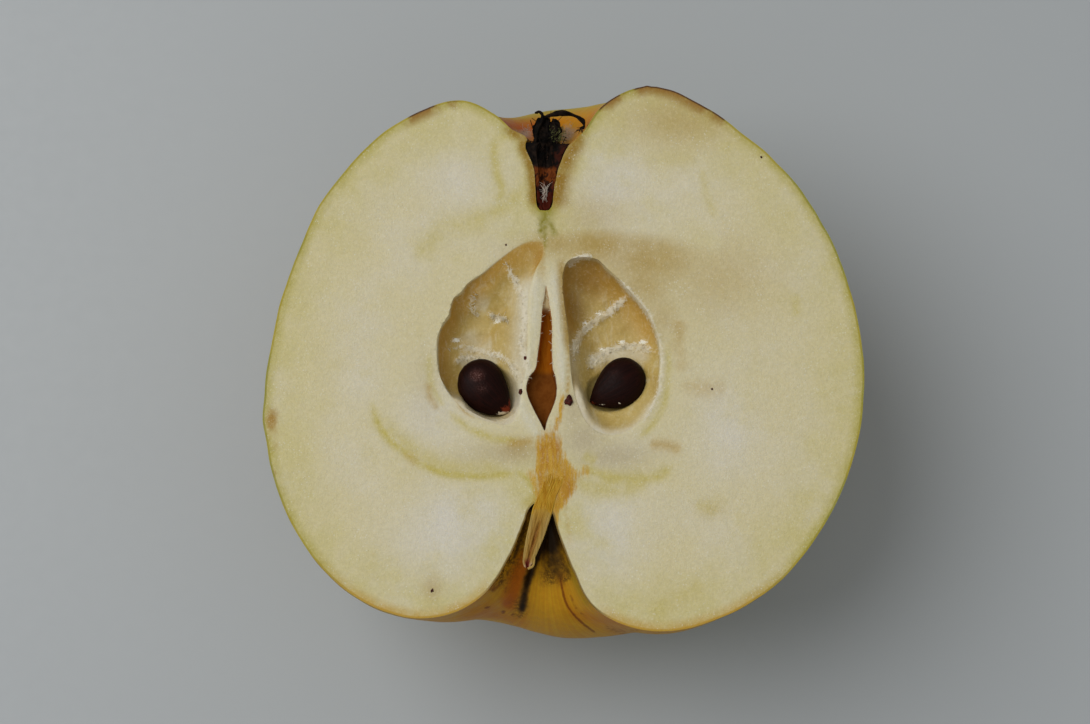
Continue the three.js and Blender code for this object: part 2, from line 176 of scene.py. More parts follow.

# Each seed: how it lies, how pointed it is to the left and to the right of its middle line, and the
# spots where a highlight is painted on its coat.
SEEDS = {
    "seed_left": {
        "centre": (-7.27, -3.04), "tip_angle": -46, "length": 8.1, "width": 6.1,
        "pointed": (0.7, 0.3), "bow": -0.15,
        "torn": [((-4.6, -5.8), (0.9, 0.5), 1.1), ((-4.3, -5.0), (0.35, 0.7), 0.8)],
        "flakes": [((-5.3, -6.2), (0.8, 0.2), 1.1), ((-4.5, -6.1), (0.3, 0.2), 0.9)],
        "highlight_spots": [((-8.5, -1.6), (1.0, 0.9), 1.0), ((-7.9, -3.2), (1.4, 1.0), 0.45)],
    },
    "seed_right": {
        "centre": (8.9, -2.62), "tip_angle": -148, "length": 7.8, "width": 5.95,
        "pointed": (0.4, 0.9), "bow": 0.05,
        "torn": [((5.9, -4.9), (0.5, 0.3), 0.6)],
        "flakes": [((9.3, -4.98), (0.12, 0.1), 1.0), ((11.2, -4.7), (0.1, 0.1), 0.9),
                   ((7.2, -5.1), (0.4, 0.1), 0.7)],
        "highlight_spots": [((8.6, -1.2), (1.0, 0.6), 0.35)],
    },
}
SEED_THICKNESS = 3.6
SEED_TOP = -0.5
SEED_GAP = 0.12  # between a seed and the nest it lies in
NEST_RISE = 6  # how steeply the nest rises beside the seed

# ---------------------------------------------------------------- what is drawn on the cut face

# Each line is its points and its half width; each zone its centre, its radii and its strength.
VEINS = [
    ([(-21.8, -3.8), (-20.9, -7.3), (-19.3, -9.8), (-16.1, -12.3), (-13.0, -13.8), (-9.3, -14.3),
      (-5.0, -14.1), (-1.9, -13.9)], 0.55, 1.0),
    ([(-20.6, -6.0), (-18.6, -9.0), (-15.6, -11.6), (-12.6, -13.0), (-9.0, -13.5),
      (-4.0, -13.4)], 1.1, 0.55),
    ([(3.7, -12.6), (5.6, -13.6), (7.4, -14.2), (11.2, -14.7), (14.3, -14.2), (16.2, -12.6)],
     0.6, 0.8),
    ([(6.2, -14.2), (10.0, -15.0), (13.0, -14.6)], 1.2, 0.75),
    ([(-12.4, -6.0), (-9.3, -8.4), (-6.2, -9.6), (-2.5, -9.9)], 0.45, 0.8),
    ([(-14.5, 1.5), (-14.1, -2.9), (-12.4, -6.0)], 0.4, 0.5),
    ([(-6.1, 29.2), (-6.4, 27.1), (-6.2, 24.5), (-5.4, 21.7), (-6.2, 19.4)], 0.55, 0.75),
    ([(-6.2, 19.4), (-8.8, 17.8), (-12.6, 16.7), (-15.1, 14.2), (-16.6, 12.7)], 1.6, 0.5),
    ([(19.6, 25.2), (20.1, 23.2), (20.4, 21.3), (21.6, 18.1)], 0.5, 0.4),
    ([(12.0, 25.6), (16.0, 26.0), (19.6, 25.2)], 1.2, 0.25),
    ([(31.3, 8.8), (31.5, 5.6)], 0.5, 0.45),
    ([(15.2, 3.0), (15.4, -1.0), (14.8, -5.4), (13.1, -8.2), (11.0, -10.1)], 0.4, 0.7),
    ([(4.6, -11.6), (6.4, -12.6)], 0.7, 0.6),
    ([(20.0, -27.5), (15.5, -30.0), (12.3, -31.3)], 1.3, 0.45),
    ([(18.5, -17.5), (21.5, -18.8)], 1.0, 0.4),
    ([(-3.9, -13.4), (-2.0, -14.8), (-1.1, -16.6), (-0.8, -19.0)], 0.35, 1.0),
    ([(3.6, -14.4), (5.6, -15.7), (8.6, -16.0), (12.2, -15.2)], 1.2, 0.6),
    ([(-3.0, 22.0), (-4.2, 20.6), (-5.8, 19.3), (-7.6, 18.4)], 0.9, 0.55),
    ([(-6.0, 28.6), (-4.4, 29.0), (-3.0, 28.8)], 0.6, 0.6),
]
BROWN_LINES = [
    ([(12.7, -10.3), (15.1, -10.5), (17.2, -11.2)], 0.7, 0.65),
    ([(16.4, 5.6), (16.9, 3.6), (16.2, 1.8)], 0.8, 0.5),
    ([(15.6, 3.2), (17.0, 0.6), (16.8, -1.6)], 0.9, 0.35),
    ([(16.6, -2.6), (19.3, -3.4), (22.8, -3.0)], 1.1, 0.35),
    ([(-4.9, -10.0), (-3.6, -10.2), (-1.2, -9.6)], 0.45, 0.9),
    ([(-14.6, -2.4), (-14.3, -4.6), (-13.2, -6.2)], 0.35, 0.7),
    ([(-17.6, -11.4), (-15.6, -12.8)], 0.6, 0.4),
    ([(2.2, -17.0), (2.75, -19.6), (3.2, -23.0)], 0.16, 0.6),
    ([(-11.9, -2.6), (-11.2, -4.6), (-10.0, -6.3), (-8.4, -7.3)], 0.16, 0.8),
    ([(2.7, 5.2), (2.85, 2.0), (2.9, -1.6), (2.7, -5.4)], 0.2, 1.1),
    ([(0.0, 18.0), (-0.1, 14.4), (-0.1, 10.2)], 0.1, 0.6),
]
WHITE_LINES = [
    ([(-5.3, 13.2), (-4.1, 11.0), (-3.1, 9.1), (-2.6, 5.3), (-2.9, 2.1), (-2.1, -1.0),
      (-1.9, -2.9)], 0.42, 0.85),
    ([(-7.3, 6.6), (-6.0, 6.1), (-4.6, 5.7)], 0.34, 0.95),
    ([(-12.2, 2.1), (-10.6, 2.4), (-8.7, 2.1), (-6.9, 1.5), (-5.0, 0.6), (-3.7, -1.0),
      (-2.9, -2.9)], 0.42, 0.75),
    ([(-8.8, 9.1), (-9.4, 7.2), (-8.1, 6.3)], 0.4, 0.5),
    ([(10.9, 9.1), (8.1, 7.0), (5.0, 4.7), (4.0, 2.8), (3.5, 0.3)], 0.5, 1.0),
    ([(5.0, 0.5), (6.9, 1.5), (9.4, 2.4), (11.9, 2.4), (14.0, 1.3)], 0.5, 1.0),
    ([(5.4, -0.4), (6.4, 0.6), (8.0, 1.2)], 0.6, 0.5),
    ([(-11.6, 0.4), (-10.0, 1.2), (-8.2, 1.0)], 0.5, 0.5),
]
# Painted shade where the right chamber is darkest: under its top rim and down its wall by the
# septum.
RIGHT_CHAMBER_SHADE = [((5.6, 11.4), (3.4, 2.8), 1.0), ((3.6, 7.4), (1.8, 3.4), 0.9),
        ((3.2, 2.6), (0.8, 4.4), 0.6)]
# Broad whitish membranes over the chambers' floors.
VEILS = [
    ([(-1.6, 12.2), (-2.2, 9.4), (-2.5, 5.4), (-2.7, 1.6), (-2.9, -3.0), (-3.2, -7.4)], 1.5, 1.0),
    ([(-10.2, 4.6), (-8.6, 2.6), (-6.2, 2.4)], 1.2, 0.5),
    ([(-8.8, 8.2), (-7.0, 7.4)], 1.0, 0.5),
    ([(-11.2, 0.4), (-8.6, 1.0), (-5.6, 0.2)], 1.0, 0.7),
    ([(3.9, 3.4), (3.5, 0.6), (3.8, -3.0), (4.6, -7.6)], 0.7, 0.35),
    ([(5.0, -0.2), (7.6, 1.2), (11.4, 1.4), (13.4, 0.2)], 0.9, 0.7),
]
RIM_LINES = [
    ([(2.7, 12.2), (3.5, 13.0), (4.8, 13.5), (6.3, 13.4)], 0.3, 1.0),
    ([(7.7, 12.0), (10.4, 9.3), (13.3, 5.5), (14.5, 1.5), (14.3, -3.0), (13.0, -6.3),
      (11.0, -8.6)], 0.28, 0.75),
]
SEPTUM_LINES = [
    ([(-0.9, 12.4), (-1.2, 8.0), (-1.5, 3.0), (-2.2, 0.2), (-3.1, -4.4)], 0.55, 0.8),
    ([(0.9, 13.0), (1.5, 8.0), (1.9, 3.0), (2.1, -1.0), (2.3, -4.6)], 0.6, 1.0),
    ([(-3.3, -4.2), (-2.6, -6.4), (-1.2, -8.6), (-0.4, -9.6)], 0.7, 0.8),
]
# Painted shade down the side of the wall between the slit and the right chamber, where it falls
# away into the chamber.
SEPTUM_SHADE = [([(2.2, 14.0), (2.1, 11.4), (2.2, 8.4), (2.6, 5.0), (2.9, 0.6)], 0.55, 1.0)]
# Wet spots on the torn membranes: smoother, and painted near-white as painted highlights.
GLINTS = [
    ((9.7, 3.1), (0.45, 0.3), 1.0), ((12.3, 3.0), (0.6, 0.28), 1.0), ((7.2, 2.2), (0.5, 0.3), 0.7),
    ((-11.2, 3.3), (0.6, 0.3), 0.9), ((-6.0, 5.6), (0.5, 0.25), 1.0), ((6.8, 6.8), (0.6, 0.3), 0.8),
    ((5.1, 5.6), (0.5, 0.35), 0.7), ((-8.8, 7.4), (0.4, 0.3), 0.5),
]
PALE_ZONES = [
    ((-11.1, -22.0), (8.0, 5.5), 1.0),
    ((7.0, -21.6), (4.0, 6.5), 1.0),
    ((-7.5, -18.0), (4.0, 2.4), 0.9),
    ((-10.7, 23.2), (5.0, 4.4), 0.7),
    ((8.0, 22.8), (4.6, 5.2), 1.0),
    ((16.0, 20.4), (5.0, 3.4), 0.35),
    ((22.4, -9.8), (5.0, 6.0), 0.6),
    ((-4.3, 24.6), (1.3, 4.0), 0.5),
    ((-15.5, -7.0), (4.0, 4.0), 0.6),
    ((-23.0, -2.5), (3.4, 4.0), 0.5),
]
TAN_ZONES = [
    ((6.5, 14.9), (5.5, 2.8), 0.95),
    ((13.0, 13.2), (6.5, 4.0), 0.85),
    ((12.6, 10.2), (3.4, 3.6), 0.75),
    ((14.8, 6.0), (2.2, 3.2), 0.5),
    ((21.0, 10.6), (7.5, 5.0), 0.4),
    ((1.6, 15.1), (3.6, 1.9), 0.8),
    ((20.4, -18.5), (1.6, 1.1), 0.25),
    ((-3.4, -11.0), (2.4, 1.3), 0.8),
    ((-13.9, -28.2), (1.2, 1.6), 0.5),
    ((17.0, 31.0), (7.0, 3.4), 0.6),
    ((6.0, 18.5), (4.0, 3.0), 0.35),
]
FLAP_ZONES = [((-0.6, 13.2), (0.9, 1.9), 1.0), ((-1.6, 14.6), (1.6, 0.8), 0.6),
              ((-3.4, 13.4), (2.6, 1.6), 0.35)]
TAN_EDGE = [(-0.6, 16.9), (6.9, 17.5), (14.5, 16.2), (22.0, 14.4), (24.0, 40.0)]
GREY_ZONES = [
    ((4.9, -9.6), (2.6, 2.2), 1.0),
    ((3.6, -6.3), (1.4, 2.6), 0.8),
    ((-14.8, -3.0), (1.8, 5.0), 0.35),
    ((8.4, -11.8), (4.4, 1.8), 0.9),
    ((-6.0, -11.6), (6.0, 1.5), 0.6),
]
CORE_LINE = [(0.7, -8.2), (0.8, -10.4), (0.9, -12.0), (1.2, -13.6), (1.4, -14.9), (1.4, -16.1),
             (1.0, -17.4), (0.2, -18.8)]
CORE_WIDTHS = [1.2, 1.55, 1.8, 2.9, 2.7, 2.3, 2.0, 1.6]
CORE_STREAKS = [
    ([(2.3, -3.4), (2.0, -6.0), (1.5, -8.0), (1.4, -12.0)], 0.35, 0.8),
    ([(-0.7, -7.6), (-0.6, -11.0), (-0.7, -14.0), (-0.7, -18.4)], 0.5, 0.75),
    ([(-2.6, -13.2), (-1.6, -14.4), (-1.0, -16.2), (-0.9, -18.4)], 0.4, 0.6),
    ([(5.8, -13.0), (3.8, -14.4), (2.8, -16.0), (2.4, -18.0)], 0.8, 0.6),
]
EMBERS = [((2.9, -15.9), (1.2, 1.8), 1.0), ((-0.5, -15.6), (0.4, 2.4), 0.9),
          ((1.5, -10.6), (0.5, 2.4), 0.9), ((-0.4, -11.0), (0.4, 2.0), 0.9)]
GREEN_DELTA = [
    ([(-0.35, 21.4), (-0.4, 19.6), (-0.45, 17.8), (-0.7, 15.6)], 0.26, 1.25),
    ([(0.0, 21.4), (0.0, 18.0), (-0.05, 14.0)], 0.2, 1.1),
    ([(0.3, 21.4), (0.4, 19.4), (0.7, 17.8), (1.5, 15.6)], 0.3, 1.1),
]
GREEN_HEART = [((0.0, 18.3), (0.75, 1.7), 1.0)]
# Places on the skin's edge where it has gone dark.
DARK_EDGE = [((-15.4, 31.4), (2.2, 2.2), 1.1), ((12.8, 34.9), (1.2, 1.2), 1.2),
             ((15.8, 34.0), (2.6, 2.6), 1.2), ((18.9, 32.8), (2.0, 2.0), 1.1),
             ((8.4, 33.2), (1.7, 1.7), 0.9), ((-11.6, 33.0), (1.0, 1.0), 0.6),
             ((22.0, 31.2), (1.6, 1.6), 0.6)]
BRUISES = [((-34.0, -7.6), (1.0, 2.0), 0.9), ((-33.4, -9.8), (0.7, 1.4), 0.6),
           ((-33.6, -14.0), (0.4, 1.0), 0.8)]
# Greyish down on the wall of the calyx basin.
ASH = [((2.9, 30.2), (1.1, 1.2), 1.0), ((-2.6, 30.2), (1.2, 0.8), 1.0)]

# What is drawn on the skin round the stem, seen from above: lines, and oval zones.
# The dark crease down the stem cavity and the dark round the stem's foot: dark russet with painted
# shade over it.
STEM_END_DARK = [
    ([(0.3, -19.0), (-0.3, -22.0), (-0.9, -23.9), (-1.5, -25.1), (-2.1, -26.7), (-2.5, -28.3),
      (-2.9, -30.2), (-3.3, -31.8)], 0.62, 1.1),
    ([(2.0, -19.0), (2.2, -22.0), (2.5, -25.0), (3.4, -27.8)], 0.6, 0.5),
    ([(-2.2, -17.6), (-2.6, -20.5), (-3.2, -22.6), (-4.2, -25.2)], 0.35, 0.7),
]
STEM_END_DARK_AND_SHADE = [((1.1, -20.8), (1.6, 3.4), 1.4), ((1.5, -24.0), (2.4, 3.4), 0.75),
                 ((-0.2, -22.0), (1.0, 2.8), 1.2), ((2.3, -23.3), (1.0, 2.8), 0.6),
                 ((0.9, -22.6), (1.6, 2.4), 1.2)]
STEM_END_RUSSET = [
    ([(-2.6, -19.0), (-3.8, -23.1), (-4.9, -25.2), (-7.0, -28.2)], 1.3, 1.0),
    ([(0.6, -24.0), (0.5, -27.8)], 1.1, 0.9),
    ([(2.0, -24.0), (2.6, -27.6)], 0.8, 0.9),
    ([(-3.6, -28.6), (-3.0, -31.4)], 0.9, 0.7),
]
STEM_END_RED = [
    ([(1.7, -25.6), (2.1, -27.8), (2.6, -29.6), (3.5, -31.0), (4.9, -32.2), (7.2, -33.6)],
     0.16, 1.05),
    ([(3.0, -28.2), (3.8, -30.2), (5.6, -31.8)], 0.2, 0.5),
    ([(7.0, -32.4), (9.2, -33.0), (12.0, -33.5)], 0.3, 0.5),
    ([(-7.2, -28.4), (-6.2, -27.9), (-5.0, -26.8)], 0.35, 0.7),
]
STEM_END_FLECKS = [
    ((-7.2, -30.2), (0.34, 0.18), 1.3), ((-5.3, -30.5), (0.26, 0.18), 1.3),
    ((-4.1, -30.8), (0.28, 0.15), 1.2), ((-6.4, -28.2), (0.4, 0.22), 1.0),
    ((-3.0, -30.9), (0.24, 0.16), 1.1), ((-4.9, -28.2), (0.22, 0.4), 0.9),
    ((-5.7, -26.6), (0.3, 0.4), 0.8),
]
STEM_END_ORANGE = [
    ([(-1.6, -22.6), (-3.1, -25.6), (-4.0, -28.4), (-5.2, -31.0)], 1.4, 1.0),
    ([(-12.0, -29.6), (-6.0, -31.2), (-1.0, -32.0)], 2.0, 0.5),
    ([(1.6, -25.0), (2.3, -28.0), (3.2, -30.4), (6.0, -32.6)], 0.8, 0.5),
    ([(3.6, -31.0), (6.5, -31.8), (11.0, -33.0)], 1.3, 0.5),
]
STEM_END_OLIVE = [([(2.8, -24.0), (4.0, -27.6), (5.9, -30.6)], 0.55, 0.7)]
TAPER = 0.16  # the share of a line over which it fades and narrows at either end


# ---------------------------------------------------------------- curves and surfaces


def unit(vectors):
    return vectors / np.maximum(np.linalg.norm(vectors, axis=-1, keepdims=True), TINY)


def closed(loop):
    """The points of a polygon with the first one again at the end."""
    return np.vstack([loop, loop[:1]])


def lengths_along(line):
    """How far along a line each of its points lies."""
    return np.concatenate([[0], np.cumsum(np.linalg.norm(np.diff(line, axis=0), axis=1))])


def curve(points, places, looped=False):
    """Points of the centripetal Catmull-Rom curve through the given ones, at places from 0 to 1."""
    knots = np.asarray(points, float)
    spans = len(knots) if looped else len(knots) - 1
    if looped:
        knots = np.vstack([knots[-1:], knots, knots[:2]])
    else:
        knots = np.vstack([2 * knots[0] - knots[1], knots, 2 * knots[-1] - knots[-2]])
    place = np.asarray(places, float) * spans
    first = np.clip(np.floor(place).astype(int), 0, spans - 1)
    w = (place - first)[:, None]
    a, b, c, d = (knots[first + k] for k in range(4))
    ab, bc, cd = (np.linalg.norm(q - p, axis=1, keepdims=True) ** 0.5
                  for p, q in ((a, b), (b, c), (c, d)))
    start = ((b - a) / ab - (c - a) / (ab + bc) + (c - b) / bc) * bc
    end = ((c - b) / bc - (d - b) / (bc + cd) + (d - c) / cd) * bc
    return (b + start * w + (3 * (c - b) - 2 * start - end) * w**2
            + (2 * (b - c) + start + end) * w**3)


def bell(value, middle, width):
    """1 at the middle, fading to both sides."""
    return np.exp(-(((value - middle) / width) ** 2))


def smooth(value, low, high):
    """0 below low, 1 above high, with a soft start and end; low may be the larger one."""
    share = np.clip((value - low) / (high - low), 0, 1)
    return share * share * (3 - 2 * share)


def fractal(points, size, octaves=3):
    """Noise from about -1 to 1 at each point, with its largest lumps of the given size."""
    points = np.asarray(points, float)
    found = [noise.fractal(Vector(p) / size, 1.0, 2.0, octaves) for p in points.reshape(-1, 3)]
    return np.array(found).reshape(points.shape[:-1])


def station(name, beyond=0.0):
    """Where a station lies along the outline, from 0 at the calyx to 1 at the stem.

    A share of the way to the next station, or back to the one before, can be added.
    """
    return ([s[0] for s in STATIONS].index(name) + beyond) / (len(STATIONS) - 1)


def lobe(azimuth):
    """The wave of the lobes round the core, which is 0 on the cut."""
    def wave(angle):
        return np.cos(LOBE_COUNT * (angle - LOBE_PEAK))

    share = (1 + np.cos(azimuth)) / 2
    return wave(azimuth) - share * wave(0.0) - (1 - share) * wave(math.pi)


def skin_points(along, azimuth, inset=0.0):
    """Points of the skin for a column of places along the outline and a row of azimuths."""
    right = curve([s[1] for s in STATIONS], along)[:, None, :]
    left = curve([s[2] for s in STATIONS], along)[:, None, :]
    along, azimuth = along[:, None], azimuth[None, :]
    share = (1 + np.cos(azimuth)) / 2
    plain = left[..., 0] + (right[..., 0] - left[..., 0]) * share
    height = left[..., 1] + (right[..., 1] - left[..., 1]) * share
    fade = np.minimum(1, plain / AXIS_FADE)
    lobes = fade * lobe(azimuth)
    apart = 1 / (len(STATIONS) - 1)
    lobe_at = {name: lobes * size * bell(along, station(name), reach * apart)
               for name, (size, reach) in LOBES.items()}
    radius = plain - inset + lobe_at["widest"]
    height = height + lobe_at["crown"] - lobe_at["base crest"]
    for name, middle, width, reach, spread, lift in SWELLS:
        swell = bell(np.degrees(azimuth), middle, width)
        swell = swell * bell(along, station(name), reach * apart)
        radius = radius + fade * swell * spread
        height = height + fade * swell * lift
    return np.stack([radius * np.cos(azimuth), height,
                     -radius * np.sin(azimuth) * DEPTH_RATIO], axis=-1)


def skin_rows():
    """Places along the outline whose rows of facets are all about one step apart."""
    fine = np.linspace(0, 1, 2000)
    mean = (curve([s[1] for s in STATIONS], fine) + curve([s[2] for s in STATIONS], fine)) / 2
    length = lengths_along(mean)
    count = int(length[-1] / SKIN_STEP)
    return np.interp(np.linspace(0, length[-1], count + 1), length, fine)


def grid_normals(points):
    return unit(np.cross(np.gradient(points, axis=0), np.gradient(points, axis=1)))


def inside(points, polygon):
    """Which points lie inside a closed polygon."""
    x, y = points[:, 0], points[:, 1]
    found = np.zeros(len(points), bool)
    for (x0, y0), (x1, y1) in zip(polygon, np.roll(polygon, -1, axis=0)):
        if y0 != y1:
            crossing = (y0 > y) != (y1 > y)
            found ^= crossing & (x < (x1 - x0) * (y - y0) / (y1 - y0) + x0)
    return found


def nearest(points, line):
    """The distance of each point from a line of straight pieces, and how far along it that is."""
    line = np.asarray(line, float)
    before = lengths_along(line)
    before /= before[-1]
    gap, place = np.full(len(points), np.inf), np.zeros(len(points))
    for i, (a, b) in enumerate(zip(line[:-1], line[1:])):
        step = b - a
        share = np.clip(((points - a) @ step) / max(step @ step, TINY**2), 0, 1)
        apart = points - a - share[:, None] * step
        square = np.einsum("ij,ij->i", apart, apart)
        closer = square < gap
        gap = np.where(closer, square, gap)
        place = np.where(closer, before[i] + share * (before[i + 1] - before[i]), place)
    return np.sqrt(gap), place


def distance(points, line):
    return nearest(points, line)[0]


def strokes(points, lines):
    """How strongly soft lines with thin ends cover each point, from 0 to 1."""
    cover = np.zeros(len(points))
    for line, width, strength in lines:
        gap, place = nearest(points, curve(line, np.linspace(0, 1, 8 * len(line))))
        ends = smooth(place, 0, TAPER) * smooth(place, 1, 1 - TAPER)
        cover = np.maximum(cover, strength * ends * bell(gap, 0, width * (0.4 + 0.6 * ends)))
    return cover


def zones(points, spots):
    """How strongly soft oval spots cover each point, from 0 to 1."""
    cover = np.zeros(len(points))
    for (x, y), (rx, ry), strength in spots:
        cover = np.maximum(cover, strength * bell(points[:, 0], x, rx) * bell(points[:, 1], y, ry))
    return cover


# ---------------------------------------------------------------- the cut face

# How high the relief of the cut face stands; "slit lumps" is a share of the slit's depth.
RELIEF = {
    "ledge": 1.5, "floor": 0.25, "membrane": 0.42, "floor lumps": 0.1, "slit lumps": 0.05,
    "swell": 0.035, "grain": 0.02, "rim": 0.1, "vein": -0.04, "septum": 0.12, "strand": 0.09,
}
WALL_DEPTH = 1.2  # below this depth a chamber's floor has all its relief
CORE_TOP, CORE_FOOT = (-7.2, -10.4), (-21.5, -19.5)  # where the fibrous tissue starts and ends

# Rows of points that follow the edges: inside the outline and the slit's rim, down the chambers'
# walls as shares of the way from the deepest point, and round the outside of their rims.
OUTLINE_ROWS = (0.14, 0.3, 0.6, 1.0)
SLIT_ROWS = (0.07, 0.16, 0.27)
WALL_ROWS = (0.995, 0.98, 0.955, 0.92)
COLLAR = 0.12
# The grids of points between: step, whether in the hollows, how deep in the slit and how far out
# in the chambers they reach, and how far they keep from the outline and from the rims.
GRIDS = [
    (FLESH_STEP, False, 0.0, 1.0, (1.15, 0.2, 0.2, 0.2)),
    (CHAMBER_STEP, True, SLIT["wall"], 0.9, (0.1, 0.1, 0.1, 0.1)),
]
JITTER = 0.12  # how far the grids' points are off their places, as a share of the step


def rim_of(hollow, step):
    """The rim of a hollow in the cut face as a closed polygon with sides of about one step."""
    fine = np.linspace(0, 1, 400)
    length = lengths_along(curve(hollow["rim"], fine, looped=True))
    count = int(length[-1] / step)
    places = np.interp(np.arange(count) / count * length[-1], length, fine)
    return curve(hollow["rim"], places, looped=True)


def reach_of(points, hollow):
    """0 at a hollow's deepest point and 1 on its rim, and the direction from the deepest point."""
    rim = rim_of(hollow, CHAMBER_STEP) - hollow["deepest"]
    rim_angle = np.arctan2(rim[:, 1], rim[:, 0])
    order = np.argsort(rim_angle)
    offset = points - hollow["deepest"]
    angle = np.arctan2(offset[:, 1], offset[:, 0])
    rim_radius = np.interp(angle, rim_angle[order], np.linalg.norm(rim, axis=1)[order],
                           period=2 * math.pi)
    return np.linalg.norm(offset, axis=1) / rim_radius, angle


def chamber_depth(points, chamber):
    """The depth of a bowl whose walls are sheer on one side and gentle on the other."""
    reach, angle = reach_of(points, chamber)
    (sheer_at, sheer), (gentle_at, gentle) = chamber["sheer"], chamber["gentle"]
    toward_sheer = (1 + np.cos(angle - math.radians(sheer_at))) / 2
    toward_gentle = (1 + np.cos(angle - math.radians(gentle_at))) / 2
    share = smooth(toward_gentle / (toward_gentle + toward_sheer), 0.15, 0.8)
    steepness = sheer + (gentle - sheer) * share
    bowl = (1 - np.clip(reach, 0, 1) ** steepness) ** (1 / steepness)
    top, foot, least = chamber["rise"]
    level = least + (1 - least) * smooth(points[:, 1], top, foot)
    return chamber["depth"] * level * bowl


def slit_inset(points):
    """How far inside the slit's rim each point lies; 0 outside."""
    rim = rim_of(SLIT, CHAMBER_STEP)
    return np.where(inside(points, rim), distance(points, closed(rim)), 0)


def slit_depth(points):
    level = SLIT["depth"] + (SLIT["shallow"] - SLIT["depth"]) * smooth(points[:, 1],
                                                                      *SLIT["membrane"])
    return level * smooth(slit_inset(points), 0, SLIT["wall"])


def seed_bed(points, seed):
    """Height of the nest that a seed lies in: just under the seed, and rising steeply beside it."""
    turn = math.radians(seed["tip_angle"])
    offset = points - seed["centre"]
    along = offset @ (math.cos(turn), math.sin(turn))
    across = offset @ (-math.sin(turn), math.cos(turn))
    ring = (2 * along / seed["length"]) ** 2 + (2 * across / seed["width"]) ** 2
    half = SEED_THICKNESS / 2
    under = SEED_TOP - half - SEED_GAP - half * np.sqrt(np.maximum(1 - ring, 0))
    return under + NEST_RISE * np.maximum(ring - 1, 0)


def core_cover(points):
    """How strongly the fibrous tissue between the core and the stem covers each point."""
    path = curve(CORE_LINE, np.linspace(0, 1, 80))
    heights = [y for _, y in CORE_LINE]
    widths = np.interp(points[:, 1], heights[::-1], CORE_WIDTHS[::-1])
    middle = np.interp(points[:, 1], path[::-1, 1], path[::-1, 0])
    across = np.abs(points[:, 0] - middle) / widths
    ends = smooth(points[:, 1], *CORE_TOP) * smooth(points[:, 1], *CORE_FOOT)
    return np.maximum(smooth(across, 1.2, 0.6) * ends, strokes(points, CORE_STREAKS))


def cut_height(points):
    """Height of the cut face: level but for the chambers, the slit and low relief."""
    spots = np.column_stack([points, np.zeros(len(points))])
    lumps = fractal(spots, 1.3)
    depth = np.maximum.reduce([chamber_depth(points, chamber) for chamber in CHAMBERS.values()])
    membrane = strokes(points, WHITE_LINES) * np.maximum(0.25, 0.75 + 1.5 * lumps)
    raised = (RELIEF["ledge"] * strokes(points, LEDGES) + RELIEF["floor"] * fractal(spots, 4.0, 2)
              + RELIEF["membrane"] * membrane + RELIEF["floor lumps"] * lumps)
    floor = smooth(depth, 0.0, WALL_DEPTH) * raised - depth
    bed = np.minimum.reduce([seed_bed(points, seed) for seed in SEEDS.values()])
    slit = slit_depth(points)
    level = RELIEF["swell"] * fractal(spots, 5.0) + RELIEF["grain"] * fractal(spots, 0.9, 2)
    level += RELIEF["rim"] * strokes(points, RIM_LINES) * (1 + 0.6 * lumps)
    level += RELIEF["vein"] * strokes(points, VEINS)
    level += RELIEF["septum"] * strokes(points, SEPTUM_LINES)
    level += RELIEF["strand"] * core_cover(points) * fractal(spots * (1, 0.15, 1), 0.5, 2)
    height = np.where(depth > 0, np.minimum(np.minimum(floor, bed), -0.02), level)
    return np.where(slit > 0, -slit * (1 + RELIEF["slit lumps"] * lumps), height)


def inset_ring(loop, inset):
    """Points at one distance inside a closed polygon, without those that come too near its rim."""
    step = np.roll(loop, -1, axis=0) - np.roll(loop, 1, axis=0)
    inward = unit(np.stack([-step[:, 1], step[:, 0]], axis=-1))
    if np.count_nonzero(inside(loop + 0.05 * inward, loop)) < len(loop) / 2:
        inward = -inward
    ring = loop + inset * inward
    return ring[inside(ring, loop) & (distance(ring, closed(loop)) > 0.93 * inset)]


def triangle_grid(low, high, step):
    columns = np.arange(low[0], high[0], step)
    rows = np.arange(low[1], high[1], step * math.sqrt(3) / 2)
    return np.vstack([np.column_stack([columns + (i % 2) * step / 2, np.full(len(columns), y)])
                      for i, y in enumerate(rows)])


def cut_points(outline):
    """Points spread over the cut face, and the numbers of those along each of its edges."""
    rims = [rim_of(hollow, CHAMBER_STEP * 0.9) for hollow in (*CHAMBERS.values(), SLIT)]
    edges = [outline, *rims]
    chosen = [*edges]
    chosen += [inset_ring(outline, inset) for inset in OUTLINE_ROWS]
    chosen += [inset_ring(rims[-1], inset) for inset in SLIT_ROWS]
    for hollow, rim in zip(CHAMBERS.values(), rims):
        spoke = rim - hollow["deepest"]
        chosen += [hollow["deepest"] + spoke * share for share in WALL_ROWS]
        chosen.append(rim + COLLAR * unit(spoke))
    for step, in_hollow, into_slit, reaching, clearances in GRIDS:
        grid = triangle_grid(outline.min(axis=0), outline.max(axis=0), step)
        hollow_at = slit_inset(grid) > into_slit
        for hollow in CHAMBERS.values():
            hollow_at |= reach_of(grid, hollow)[0] < reaching
        grid = grid[inside(grid, outline) & (hollow_at == in_hollow)]
        grid += np.random.default_rng(5).uniform(-JITTER, JITTER, grid.shape) * step
        for edge, clear in zip(edges, clearances):
            grid = grid[distance(grid, closed(edge)) > clear]
        chosen.append(grid)
    starts = np.cumsum([0, *(len(edge) for edge in edges)])
    return np.vstack(chosen), [range(a, b) for a, b in zip(starts[:-1], starts[1:])]


# ---------------------------------------------------------------- meshes


